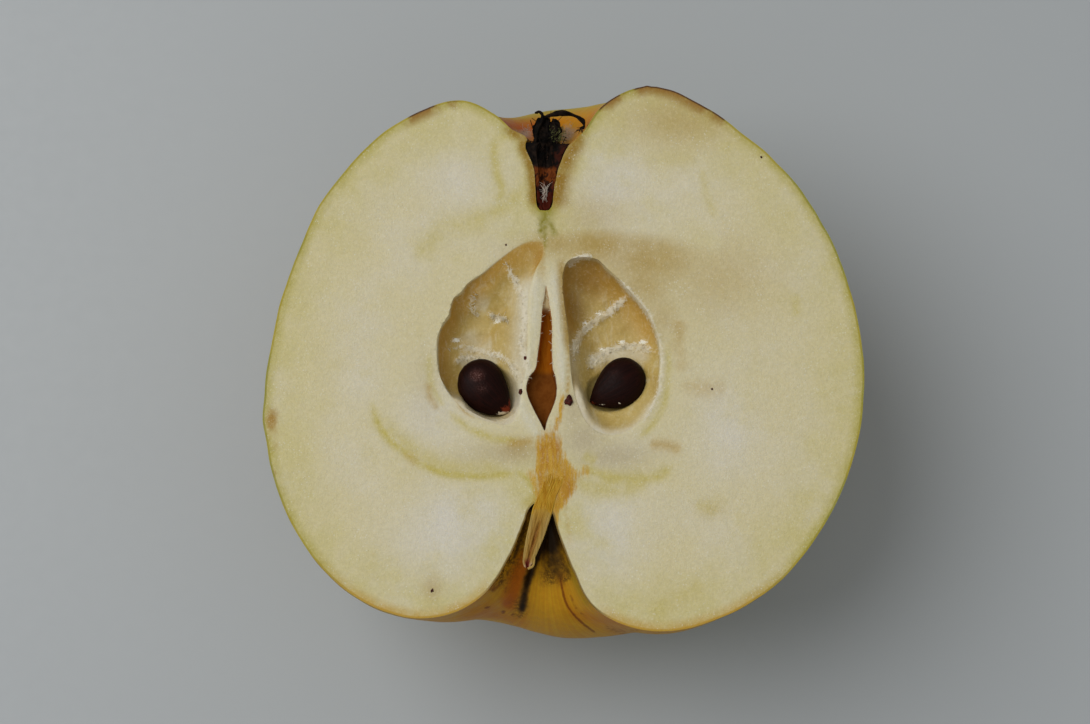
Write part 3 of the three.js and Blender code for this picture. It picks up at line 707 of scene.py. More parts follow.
class Shape:
    """Points, faces and named values at the points, gathered piece by piece."""

    def __init__(self):
        self.points, self.faces, self.values, self.slots = [], [], {}, []
        self.count = 0

    def add(self, points, faces, slots=0, **values):
        points = np.asarray(points, float).reshape(-1, 3)
        for name in set(self.values) | set(values):
            column = self.values.setdefault(name, [np.zeros(self.count)])
            column.append(np.broadcast_to(values.get(name, 0.0), len(points)).astype(float))
        self.points.append(points)
        self.faces += [tuple(int(i) + self.count for i in face) for face in faces]
        self.slots += np.broadcast_to(slots, len(faces)).tolist()
        self.count += len(points)

    def piece(self, name, materials, replaced=(), sharp=None):
        """The mesh object, in metres in the row frame, riding on the part's one body."""
        points = (np.vstack(self.points) + ORIGIN) * MM
        mesh = bpy.data.meshes.new(name)
        mesh.from_pydata(points.tolist(), [], self.faces)
        mesh.polygons.foreach_set("use_smooth", [True] * len(mesh.polygons))
        mesh.polygons.foreach_set("material_index", self.slots)
        if sharp:
            mesh.set_sharp_from_angle(angle=math.radians(sharp))
        for label, columns in self.values.items():
            attribute = mesh.attributes.new(label, "FLOAT", "POINT")
            attribute.data.foreach_set("value", np.concatenate(columns).astype(np.float32))
        for material in materials:
            mesh.materials.append(material)
        mesh.update()
        made = bpy.data.objects.new(name, mesh)
        bpy.context.collection.objects.link(made)
        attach(made, "root")
        if replaced:
            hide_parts(*replaced)
        return made


def loft(rings):
    """Points and faces of the closed surface through rings of equal length, with fans for ends."""
    rings = np.asarray(rings, float)
    rows, columns = rings.shape[:2]
    points = np.vstack([rings.reshape(-1, 3), rings[0].mean(axis=0), rings[-1].mean(axis=0)])
    first, last = rows * columns, rows * columns + 1
    steps = [(c, (c + 1) % columns) for c in range(columns)]
    faces = [(r * columns + c, r * columns + n, (r + 1) * columns + n, (r + 1) * columns + c)
             for r in range(rows - 1) for c, n in steps]
    for c, n in steps:
        faces += [(n, c, first), ((rows - 1) * columns + c, (rows - 1) * columns + n, last)]
    return points, faces


def tube(line, radii, sides):
    """Points and faces of a closed tube along a line."""
    line = np.asarray(line, float)
    tangent = unit(np.gradient(line, axis=0))
    side = unit(np.cross(tangent, (0.31, 0.2, 0.93)))
    up = np.cross(side, tangent)
    turns = circle(sides)
    radii = np.broadcast_to(radii, len(line))[:, None, None]
    ring = (np.cos(turns)[None, :, None] * side[:, None, :]
            + np.sin(turns)[None, :, None] * up[:, None, :])
    return loft(line[:, None, :] + radii * ring)


def circle(count):
    """Angles all round."""
    return np.arange(count) * 2 * math.pi / count


def ball(rows, columns):
    """Rings of the ball of radius 1 about the last axis, without its two poles."""
    turns, rounds = np.linspace(0, math.pi, rows)[1:-1, None], circle(columns)[None, :]
    return np.stack([np.sin(turns) * np.cos(rounds), np.sin(turns) * np.sin(rounds),
                     np.repeat(np.cos(turns), columns, axis=1)], axis=-1)


# ---------------------------------------------------------------- flesh and skin

# What the flesh's colours are mixed by: values from lines and values from zones.
FLESH_LINES = {"vein": VEINS, "brown": BROWN_LINES, "septum": SEPTUM_LINES, "ledge": LEDGES,
               "shade": SEPTUM_SHADE, "veil": VEILS}
FLESH_ZONES = {"pale": PALE_ZONES, "grey": GREY_ZONES, "ember": EMBERS, "bruise": BRUISES,
               "glint": GLINTS, "dusk": RIGHT_CHAMBER_SHADE, "scorch": DARK_EDGE}
# What is on the skin round the stem: lines and zones.
STEM_END = {"dark": (STEM_END_DARK, STEM_END_DARK_AND_SHADE), "russet": (STEM_END_RUSSET, []),
            "red": (STEM_END_RED, STEM_END_FLECKS), "orange": (STEM_END_ORANGE, []),
            "olive": (STEM_END_OLIVE, [])}


def skin_relief(points, along):
    """How far the skin stands out from its plain form."""
    near_core = (bell(along, 0, station("calyx basin"))
                 + bell(along, 1, 1 - station("stem cavity lip")))[:, None]
    relief = 0.16 * fractal(points, 11.0) + 0.03 * fractal(points, 2.6, 2)
    relief += near_core * 0.06 * fractal(points, 0.9, 2)
    for x, y, radius, depth in NICKS:
        relief -= depth * bell(np.linalg.norm(points - (x, y, 0), axis=-1), 0, radius)
    return relief * (smooth(along, 0.0, 0.05) * smooth(along, 1.0, 0.95))[:, None]


def skin_values(points, along):
    """The named values that the skin's colours round the stem and the calyx are mixed by."""
    flat, depth = points[:, :2], points[:, 2]
    near = smooth(along, station("base shoulder", 0.3), station("base shoulder", 0.9))
    values = {name: near * np.maximum(strokes(flat, lines), zones(flat, spots))
              for name, (lines, spots) in STEM_END.items()}
    values["scorch"] = zones(flat, DARK_EDGE) * smooth(depth, -1.2, -0.1)
    values["ash"] = smooth(along, station("crown"), station("calyx basin")) * zones(flat, ASH)
    at_crown = smooth(along, station("shoulder"), station("crown"))
    values["rim"] = smooth(depth, -1.6, -0.3) * at_crown
    return values


def cut_values(points, outline):
    """The named values that the flesh's colours are mixed by."""
    x, y = points.T
    edge = distance(points, closed(outline))
    values = {name: strokes(points, lines) for name, lines in FLESH_LINES.items()}
    values |= {name: zones(points, spots) for name, spots in FLESH_ZONES.items()}
    values["edge"] = edge
    values["core"] = core_cover(points)
    values["white"] = strokes(points, WHITE_LINES + RIM_LINES)
    tan_top = np.interp(x, *np.array(TAN_EDGE).T)
    tan = zones(points, TAN_ZONES) * smooth(y, tan_top + 0.8, tan_top - 1.4)
    values["tan"] = np.maximum(tan, zones(points, TAN_ZONES[-2:]))

    amber, wall = np.zeros(len(points)), np.zeros(len(points))
    for chamber in CHAMBERS.values():
        reach, angle = reach_of(points, chamber)
        amber = np.maximum(amber, smooth(reach, 1.0, 0.975))
        # painted shade: a darker ochre on each chamber's sheer wall, the side turned from the light
        shaded = smooth(np.cos(angle - math.radians(chamber["sheer"][0])), -0.3, 0.4)
        shaded *= chamber["amber"] * smooth(reach, 0.5, 0.95) * smooth(reach, 1.0, 0.98)
        wall = np.maximum(wall, shaded)
    values["amber"], values["wall"] = amber, wall
    values["flap"] = zones(points, FLAP_ZONES) * smooth(x, 0.1, -0.1)
    values["slit"] = smooth(slit_inset(points), 0.0, 0.12)
    values["spade"] = smooth(y, -0.7, -1.6)
    values["membrane"] = values["slit"] * smooth(y, *SLIT["membrane"])

    band = np.where(x > 0, 2.3, 1.2)
    beside = smooth(np.abs(x), 6.0, 4.0) * smooth(y, 19.0, 20.6) * smooth(y, 31.0, 29.6)
    values["tube"] = beside * smooth(edge / band, 1.2, 0.25)
    values["green"] = np.maximum(strokes(points, GREEN_DELTA), zones(points, GREEN_HEART))
    values["stem_end"] = smooth(np.abs(x), 9.0, 6.0) * smooth(y, -17, -19)
    values["warm"] = smooth(y + 0.35 * np.abs(x), -12.0, -24.0)
    return values


def skin_mesh():
    """The skin's points, faces and named values, and the numbers of the points round the cut."""
    along = skin_rows()
    azimuth = np.linspace(0, math.pi, SKIN_COLUMNS + 1)
    grid = skin_points(along, azimuth)
    grid -= grid_normals(grid) * skin_relief(grid, along)[..., None]
    grid[:, [0, -1], 2] = 0
    grid[..., 2] = np.maximum(grid[..., 2], REST_HEIGHT)
    rows, columns = grid.shape[:2]
    points = np.vstack([grid[0, :1], grid[1:-1].reshape(-1, 3), grid[-1, :1]])
    last = len(points) - 1

    def at(row, column):
        if row == 0:
            return 0
        return last if row == rows - 1 else 1 + (row - 1) * columns + column

    faces = []
    for row in range(rows - 1):
        for column in range(columns - 1):
            corners = (at(row, column), at(row, column + 1), at(row + 1, column + 1),
                       at(row + 1, column))
            faces.append(tuple(dict.fromkeys(corners)))
    loop = [at(row, 0) for row in range(rows)]
    loop += [at(row, columns - 1) for row in range(rows - 2, 0, -1)]
    along = np.concatenate([[0], np.repeat(along[1:-1], columns), [1]])
    azimuth = np.concatenate([[0], np.tile(azimuth, rows - 2), [0]])
    values = {**skin_values(points, along), "along": along, "azimuth": azimuth}
    return points, faces, values, loop


def make_fruit():
    """The skin and the cut face as one closed mesh that shares the points round the cut."""
    points, faces, skin, loop = skin_mesh()
    outline = points[loop, :2]
    spots, edges = cut_points(outline)
    sides = [(a, b) for edge in edges for a, b in zip(edge, [*edge[1:], edge[0]])]
    plan, _, triangles, origins, _, _ = delaunay_2d_cdt([Vector(p) for p in spots], sides, [],
                                                        1, 1e-5)
    plan = np.array([tuple(p) for p in plan])
    place, within = [], []
    for i, origin in enumerate(origins):
        on_skin = [loop[o] for o in origin if o < len(loop)]
        place.append(on_skin[0] if on_skin else len(points) + len(within))
        if not on_skin:
            within.append(i)
    plan_within = plan[within]
    everything = np.vstack([points, np.column_stack([plan_within, cut_height(plan_within)])])

    blank = np.zeros(len(points))
    values = {name: np.concatenate([blank, column])
              for name, column in cut_values(plan_within, outline).items()}
    for name, column in cut_values(outline, outline).items():
        values[name][loop] = column
    for name, column in skin.items():
        flesh = values.get(name, np.zeros(len(everything)))[len(points):]
        values[name] = np.concatenate([column, flesh])
    middles = plan[np.array(triangles)].mean(axis=1)
    in_slit = inside(middles, rim_of(SLIT, CHAMBER_STEP))
    slots = np.concatenate([np.zeros(len(faces), int), np.where(in_slit, 2, 1)])
    faces += [tuple(place[i] for i in face) for face in triangles]
    shape = Shape()
    shape.add(everything, faces, slots, **values)
    materials = [skin_material(), flesh_material(), slit_material()]
    return shape.piece("apple_flesh_and_skin", materials, replaced=["apple_half"],
                       sharp=50)


# ---------------------------------------------------------------- seeds

SEED_ROWS, SEED_COLUMNS = 74, 60


def make_seed(name, seed, draw):
    """One seed: a flattened drop with long fine wrinkles."""
    turns, rounds = np.linspace(0, math.pi, SEED_ROWS)[1:-1], circle(SEED_COLUMNS)
    fine = np.linspace(0, math.pi, 500)
    sides = []
    for pointed in seed["pointed"]:
        widest = (np.sin(fine) * np.cos(fine / 2) ** pointed).max()
        sides.append(np.sin(turns) * np.cos(turns / 2) ** pointed / widest)
    left, right = (side[:, None] for side in sides)
    size = np.where(np.cos(rounds) > 0, left, right)
    x = np.repeat(-np.cos(turns)[:, None] * seed["length"] / 2, SEED_COLUMNS, axis=1)
    y = np.cos(rounds) * size * seed["width"] / 2 + seed["bow"] * np.sin(turns)[:, None] ** 2
    z = np.sin(rounds) * (left + right) / 2 * SEED_THICKNESS / 2
    body = np.stack([x, y, z], axis=-1)
    place = body + draw.uniform(0, 40)
    wrinkles = fractal(place * (0.25, 1, 1), 0.55, 2)
    body *= (1 + 0.02 * fractal(place, 3.2, 2) + 0.006 * wrinkles)[..., None]
    turn = math.radians(seed["tip_angle"])
    spun = body.copy()
    spun[..., 0] = body[..., 0] * math.cos(turn) - body[..., 1] * math.sin(turn)
    spun[..., 1] = body[..., 0] * math.sin(turn) + body[..., 1] * math.cos(turn)
    spun += (*seed["centre"], SEED_TOP - SEED_THICKNESS / 2)
    points, faces = loft(spun)
    along = np.append(np.repeat(turns / math.pi, SEED_COLUMNS), [0, 1])
    around = np.append(np.tile(rounds, len(turns)), [0, 0])
    # the torn end, the painted highlight and the pale flakes on the coat
    torn, scuff, flake = (zones(points, seed[marks]) for marks in ("torn", "highlight_spots", "flakes"))
    shape = Shape()
    shape.add(points, faces, along=along, around=around, torn=torn, scuff=scuff, flake=flake)
    return shape.piece(name.replace("seed", "pip"), [seed_material()], replaced=[name])


# ---------------------------------------------------------------- calyx

# The kinds that the dried flower's colours go by. Above WITHERED the hairs get greyer, and the
# patches of felt have kinds of their own.
LINING, DULL_HAIR, WITHERED, GREYISH, TUFT, WHITE_HAIR = 0.0, 0.3, 1.0, 1.25, 1.3, 2.0
LINING_ROWS, LINING_COLUMNS = 76, 44
LINING_GAP = 0.1  # between the lining and the wall of the tube
LINING_TOP = 0.06  # how high the lining's rough cut edge and the hairs in the tube stand
KNOT_CENTRE, KNOT_RADII = np.array((0.25, 29.2, -1.3)), np.array((1.6, 2.0, 1.0))
KNOT_ROWS, KNOT_COLUMNS = 60, 90
KNOT_THREADS, TUBE_HAIRS, TUFT_HAIRS = 110, 46, 26
# Patches of felt by the withered sepals: middle, spread, height, kind and number of hairs.
FELT = [
    ((1.7, 29.4), 0.45, -0.75, 3.0, 260),
    ((2.8, 29.9), 0.5, -0.9, 2.3, 60),
    ((-2.4, 29.9), 0.35, -0.9, 2.3, 50),
]
FELT_RADIUS = 0.03
# A sepal's middle line, its width, the direction across it and how often it waves.
SEPAL_LINES = [
    ([(-1.2, 28.2, -0.5), (-1.0, 29.2, -0.45), (-0.8, 30.2, -0.45), (-0.4, 31.1, -0.5),
      (-0.3, 31.8, -0.5), (-0.65, 32.2, -0.5), (-1.25, 32.1, -0.6)], 0.6, (0.8, 0.2, 0.6), 2.0),
    ([(-0.5, 30.5, -0.9), (0.1, 31.4, -0.75), (1.2, 31.85, -0.7), (2.5, 31.95, -0.65),
      (3.7, 31.65, -0.6), (4.6, 31.1, -0.6), (4.95, 30.5, -0.7), (4.45, 30.05, -0.85)],
     0.75, (0.1, 0.5, 0.9), 2.6),
    ([(0.2, 29.6, -1.6), (0.3, 30.6, -1.4), (0.0, 31.5, -1.5), (0.3, 32.0, -1.9)],
     1.5, (1.0, 0.0, 0.3), 3.0),
    ([(-0.9, 29.2, -1.2), (-1.0, 30.4, -1.1), (-0.5, 31.3, -1.0), (0.4, 31.7, -1.2)],
     1.1, (0.9, 0.3, 0.2), 2.2),
    ([(1.4, 29.0, -0.9), (1.9, 29.9, -0.6), (1.6, 30.9, -0.6), (0.9, 31.4, -0.9)],
     0.9, (0.7, -0.2, 0.7), 2.0),
]
SEPAL_ROWS, SEPAL_COLUMNS = 40, 9
SEPAL_HALF_THICKNESS, SEPAL_WAVE, SEPAL_CRUMPLE = 0.11, 0.12, 0.08
HAIR_STEPS, HAIR_BEND, HAIR_TAPER = 6, 0.35, 0.55


def add_lining(shape):
    """The rough lining of the tube, hollow between its wall and the cut."""
    along = np.linspace(station("calyx tube tip", 0.2), station("calyx basin foot", -0.5),
                        LINING_ROWS)
    outer = skin_points(along, np.linspace(0, math.pi, LINING_COLUMNS), LINING_GAP)
    hollow = 0.25 + 0.4 * np.sin(np.linspace(0.12, 0.95, LINING_ROWS) * math.pi)
    inner = outer[:, ::-1].copy()
    inner[..., [0, 2]] *= hollow[:, None, None]
    shares = np.linspace(0, 1, 7)[None, 1:-1, None]
    flats = [a[:, None] + (b - a)[:, None] * shares
             for a, b in ((outer[:, -1], inner[:, 0]), (inner[:, -1], outer[:, 0]))]
    rings = np.concatenate([outer, flats[0], inner, flats[1]], axis=1)
    relief = 0.3 * fractal(rings, 1.1) + 0.16 * fractal(rings * (1, 0.4, 1), 0.35, 2)
    relief[:, :LINING_COLUMNS] = 0
    rings[..., 2] = np.minimum(rings[..., 2] - 0.12 + relief, LINING_TOP)
    shape.add(*loft(rings), kind=LINING)


def add_knot(shape):
    """The withered knot in the mouth of the tube."""
    knot = ball(KNOT_ROWS, KNOT_COLUMNS)[..., [0, 2, 1]]
    crumple = np.abs(fractal(knot * (1.5, 0.5, 1.5), 0.45))
    knot *= (0.72 + 0.65 * crumple + 0.16 * fractal(knot, 0.9, 2))[..., None]
    shape.add(*loft(knot * KNOT_RADII + KNOT_CENTRE), kind=WITHERED)


def add_sepal(shape, line, width, side, waves, draw):
    """A thin crumpled strip with both faces."""
    places = np.linspace(0, 1, SEPAL_ROWS)[:, None]
    across = np.linspace(-0.5, 0.5, SEPAL_COLUMNS)[None, :]
    middle = curve(line, places[:, 0])
    side = unit(side)
    normal = unit(np.cross(unit(np.gradient(middle, axis=0)), side))[:, None]
    taper = np.sqrt(1 - 0.93 * places**2)
    wave = SEPAL_WAVE * np.sin(2 * math.pi * waves * places + 3 * across + draw.uniform(0, 6))
    curl = -0.9 * width * across**2 * taper
    front, back = (middle[:, None] + side * (across * width * taper)[..., None]
                   + normal * (wave + curl + face * SEPAL_HALF_THICKNESS * taper)[..., None]
                   for face in (1, -1))
    ring = np.concatenate([front, back[:, ::-1]], axis=1)
    ring = ring + normal * (SEPAL_CRUMPLE * fractal(ring, 0.5, 2))[..., None]
    shape.add(*loft(ring), kind=WITHERED)


def add_thread(shape, foot, lean, length, radius, kind, draw, roof):
    """A thin bent hair or filament that starts at its foot and leans one way, under a roof."""
    bend = np.array([draw.gauss(0, HAIR_BEND) for _ in range(3)])
    places = np.linspace(0, 1, HAIR_STEPS)[:, None]
    line = foot + length * (places * unit(lean) + places**2 * bend)
    line[:, 2] = np.minimum(line[:, 2], roof)
    shape.add(*tube(line, radius * (1 - HAIR_TAPER * places[:, 0]), 4), kind=kind)


def make_calyx(draw):
    """The dried flower: its lining, knot and sepals, and the hairs in the tube and round them."""
    shape = Shape()
    add_lining(shape)
    add_knot(shape)
    for line, width, side, waves in SEPAL_LINES:
        add_sepal(shape, line, width, side, waves, draw)
    for _ in range(KNOT_THREADS):
        foot = KNOT_CENTRE + (draw.uniform(-1.3, 1.5), draw.uniform(-3.4, 1.2),
                              draw.uniform(-0.5, 0.6))
        lean = (draw.gauss(0, 0.6), draw.uniform(0.3, 1.6), draw.uniform(-0.2, 0.6))
        length = draw.uniform(0.6, 2.0)
        kind = draw.choice((WITHERED, WITHERED, GREYISH))
        add_thread(shape, foot, lean, length, draw.uniform(0.05, 0.12), kind, draw, roof=0.3)
    for _ in range(TUBE_HAIRS):
        foot = (draw.gauss(0.0, 0.14), draw.gauss(21.7, 0.25), draw.uniform(-0.4, -0.05))
        down = draw.choice((-1.0, -1.0, -1.0, 0.6))
        lean = (draw.gauss(0, 0.2), down * draw.uniform(0.4, 1.2), draw.uniform(-0.1, 0.3))
        kind = WHITE_HAIR if draw.random() < 0.8 else DULL_HAIR
        add_thread(shape, foot, lean, draw.uniform(0.3, 1.2), draw.uniform(0.02, 0.036), kind, draw,
                   roof=LINING_TOP)
    tip = np.array(SEPAL_LINES[1][0][-1])
    for _ in range(TUFT_HAIRS):
        lean = (draw.gauss(-0.1, 0.5), draw.uniform(-1.0, 0.2), draw.uniform(-0.1, 0.4))
        foot = tip + (draw.gauss(0.1, 0.2), draw.gauss(0, 0.12), 0)
        add_thread(shape, foot, lean, draw.uniform(0.2, 0.6), draw.uniform(0.03, 0.07), TUFT, draw,
                   roof=0.1)
    for (x, y), spread, height, kind, count in FELT:
        for _ in range(count):
            foot = (draw.gauss(x, spread), draw.gauss(y, spread), height + draw.gauss(0, 0.15))
            lean = (draw.gauss(0, 0.8), draw.gauss(0, 0.8), draw.uniform(0.1, 0.8))
            add_thread(shape, foot, lean, draw.uniform(0.15, 0.4), FELT_RADIUS, kind, draw,
                       roof=0.1)
    return shape.piece("dried_calyx", [calyx_material()], replaced=["calyx"], sharp=60)


# ---------------------------------------------------------------- stem

# The stem's middle line with its half width: x, y, half width.
STEM_LINE = [(0.3, -16.3, 1.0), (0.1, -17.2, 1.15), (-0.2, -18.2, 1.3), (-0.55, -19.5, 1.25),
             (-0.88, -20.7, 1.18), (-1.22, -21.9, 1.1), (-1.58, -23.1, 0.96), (-1.9, -24.2, 0.8),
             (-2.1, -25.0, 0.64), (-2.15, -25.7, 0.4)]
STEM_ROOT = (-16.5, -17.5)  # between these heights the stem comes out of the flesh
STEM_ROWS, STEM_COLUMNS = 110, 72
FRAYED_ROWS = 14  # the rows at the broken end that stand out unevenly
STEM_STRANDS, STRAND_STEPS = 90, 10  # the fine strands over the root of the stem
# The raised lip at the right of the broken end.
STEM_LIP = [(-1.35, -24.0, 0.06), (-1.32, -24.8, 0.14), (-1.5, -25.5, 0.12), (-2.1, -25.8, -0.04)]
STEM_LIP_STEPS = 16


def add_stem_body(shape):
    """The stem cut lengthwise: a flat top with grooves and a crease, and a round underside."""
    turn = circle(STEM_COLUMNS)
    across, top = np.cos(turn), np.sin(turn) > 0
    places = np.linspace(0, 1, STEM_ROWS)
    rings = []
    for share, (x, y, half) in zip(places, curve(STEM_LINE, places)):
        depth = np.where(top, 0.1 * np.sin(turn), 0.92 * np.sin(turn)) * half
        groove = 0.03 * np.sin(9 * across + 2.4 * share) + 0.02 * np.sin(17 * across - 3 * share)
        groove *= smooth(share, 0.1, 0.4)
        crease = -0.34 * bell(across, 0.1 - 0.25 * share, 0.13) * smooth(share, 0.25, 0.5)
        hole = -0.6 * smooth(share, 0.86, 0.97) * bell(across, -0.15, 0.45)
        z = depth + np.where(top, (groove + crease + hole) * half * 0.8, 0)
        z -= 0.35 * smooth(y, STEM_ROOT[1], STEM_ROOT[0]) + 0.12 * smooth(y, -19.4, STEM_ROOT[1])
        rings.append(np.column_stack([x + across * half, np.full(STEM_COLUMNS, y), z]))
    rings = np.array(rings)
    strands = fractal(rings * (1, 0.12, 1), 0.35)
    ragged = fractal(rings * (3, 0.5, 3) + 9, 1.2, 2)
    rings[..., 2] += 0.12 * strands * smooth(places, 0.05, 0.4)[:, None]
    rings[-FRAYED_ROWS:, :, 1] += np.linspace(0, 0.4, FRAYED_ROWS)[:, None] * ragged[-FRAYED_ROWS:]
    points, faces = loft(rings)
    shape.add(points, faces, along=np.append(np.repeat(places, STEM_COLUMNS), [0, 1]),
              across=np.append(np.tile(across, STEM_ROWS), [0, 0]), ember=zones(points, EMBERS))


def make_stem(draw):
    """The stub of the stem, the strands over its root and the lip of its broken end."""
    shape = Shape()
    add_stem_body(shape)
    heights, middles, halves = np.array(STEM_LINE[:5])[::-1].T[[1, 0, 2]]
    rise = np.linspace(0, 1, STRAND_STEPS)
    for _ in range(STEM_STRANDS):
        side = draw.uniform(-0.95, 0.95)
        y = draw.uniform(-15.2, -13.6) * (1 - rise) + draw.uniform(-20.2, -17.6) * rise
        x = np.interp(y, heights, middles) + side * np.interp(y, heights, halves)
        x += (0.9 + 0.3 * side) * smooth(y, -17.4, -14.0)
        z = 0.015 - 0.05 * (1 - np.sin(rise * math.pi)) + 0.02 * smooth(rise, 0.3, 0.9)
        girth = draw.uniform(0.05, 0.1) * np.sqrt(np.sin(0.15 + 0.9 * rise * (math.pi - 0.3)))
        points, faces = tube(np.column_stack([x, y, z]), girth, 6)
        shape.add(points, faces, along=0.1, across=0.0, ember=draw.choice((0.0, 0.4, 0.8)))
    line = curve(STEM_LIP, np.linspace(0, 1, STEM_LIP_STEPS))
    points, faces = tube(line, np.linspace(0.1, 0.16, STEM_LIP_STEPS), 8)
    shape.add(points, faces, along=0.5, across=0.95)
    return shape.piece("stem_stub", [stem_material()], replaced=["stem"], sharp=60)


# ---------------------------------------------------------------- fibres and crumbs

FLUFF_HAIRS = 70  # along a whitish line of full strength
SLIT_WHISKERS, WHISKERED = 90, (-2.2, 8.5)  # how many are tried, and between which heights
PATH_STEPS = 200


def floor_at(x, y):
    return float(cut_height(np.array([[x, y]]))[0])


def make_fibres(draw):
    """Whitish fluff on the torn membranes of the chambers and whiskers at the slit's edges."""
    shape = Shape()
    feet = []
    for line, width, strength in WHITE_LINES:
        path = curve(line, np.linspace(0, 1, PATH_STEPS))
        for _ in range(int(FLUFF_HAIRS * strength)):
            x, y = path[draw.randrange(PATH_STEPS)]
            feet.append((x + draw.gauss(0, 0.5 * width), y + draw.gauss(0, 0.5 * width)))
    for (x, y), z in zip(feet, cut_height(np.array(feet))):
        lean = (draw.gauss(0, 1), draw.gauss(0, 1), draw.uniform(0.1, 0.9))
        add_thread(shape, (x, y, z - 0.04), lean, draw.uniform(0.15, 0.5),
                   draw.uniform(0.03, 0.075), 0.0, draw, roof=0.1)
    rim = rim_of(SLIT, 0.1)
    for _ in range(SLIT_WHISKERS):
        x, y = rim[draw.randrange(len(rim))]
        if not WHISKERED[0] <= y <= WHISKERED[1]:
            continue
        inward = -1 if x > 0 else 1
        lean = (inward * draw.uniform(0.3, 1.0), draw.gauss(0, 0.9), draw.uniform(-0.1, 0.3))
        add_thread(shape, (x - 0.1 * inward, y, 0.0), lean, draw.uniform(0.2, 0.55),
                   draw.uniform(0.03, 0.055), 0.0, draw, roof=0.12)
    return shape.piece("membrane_fibres", [fibre_material()])


# The crumbs: x, y and radius.
CRUMBS = [(-2.45, 0.55, 0.2), (-3.05, -3.8, 0.33), (2.95, -4.9, 0.52), (20.8, -3.4, 0.13),
          (-4.9, 14.9, 0.12), (-13.9, -28.5, 0.2), (27.3, 26.2, 0.14)]
CRUMB_ROWS, CRUMB_COLUMNS = 14, 18


def make_crumbs(draw):
    """Small red-brown scraps of seed coat on the cut face."""
    shape = Shape()
    plain = ball(CRUMB_ROWS, CRUMB_COLUMNS)
    for x, y, size in CRUMBS:
        bumps = fractal(plain + draw.uniform(0, 30), 0.9, 2)
        lump = plain * (0.9 + 0.55 * bumps)[..., None] * (size, size * 1.15, size * 0.55)
        shape.add(*loft(lump + (x, y, floor_at(x, y) + 0.25 * size)))
    return shape.piece("crumbs", [crumb_material()])


# ---------------------------------------------------------------- materials


def linear(red, green, blue):
    """A colour given as sRGB numbers from 0 to 255, as the shader wants it."""
    def one(value):
        value /= 255
        return value / 12.92 if value <= 0.04045 else ((value + 0.055) / 1.055) ** 2.4
    return (one(red), one(green), one(blue), 1.0)


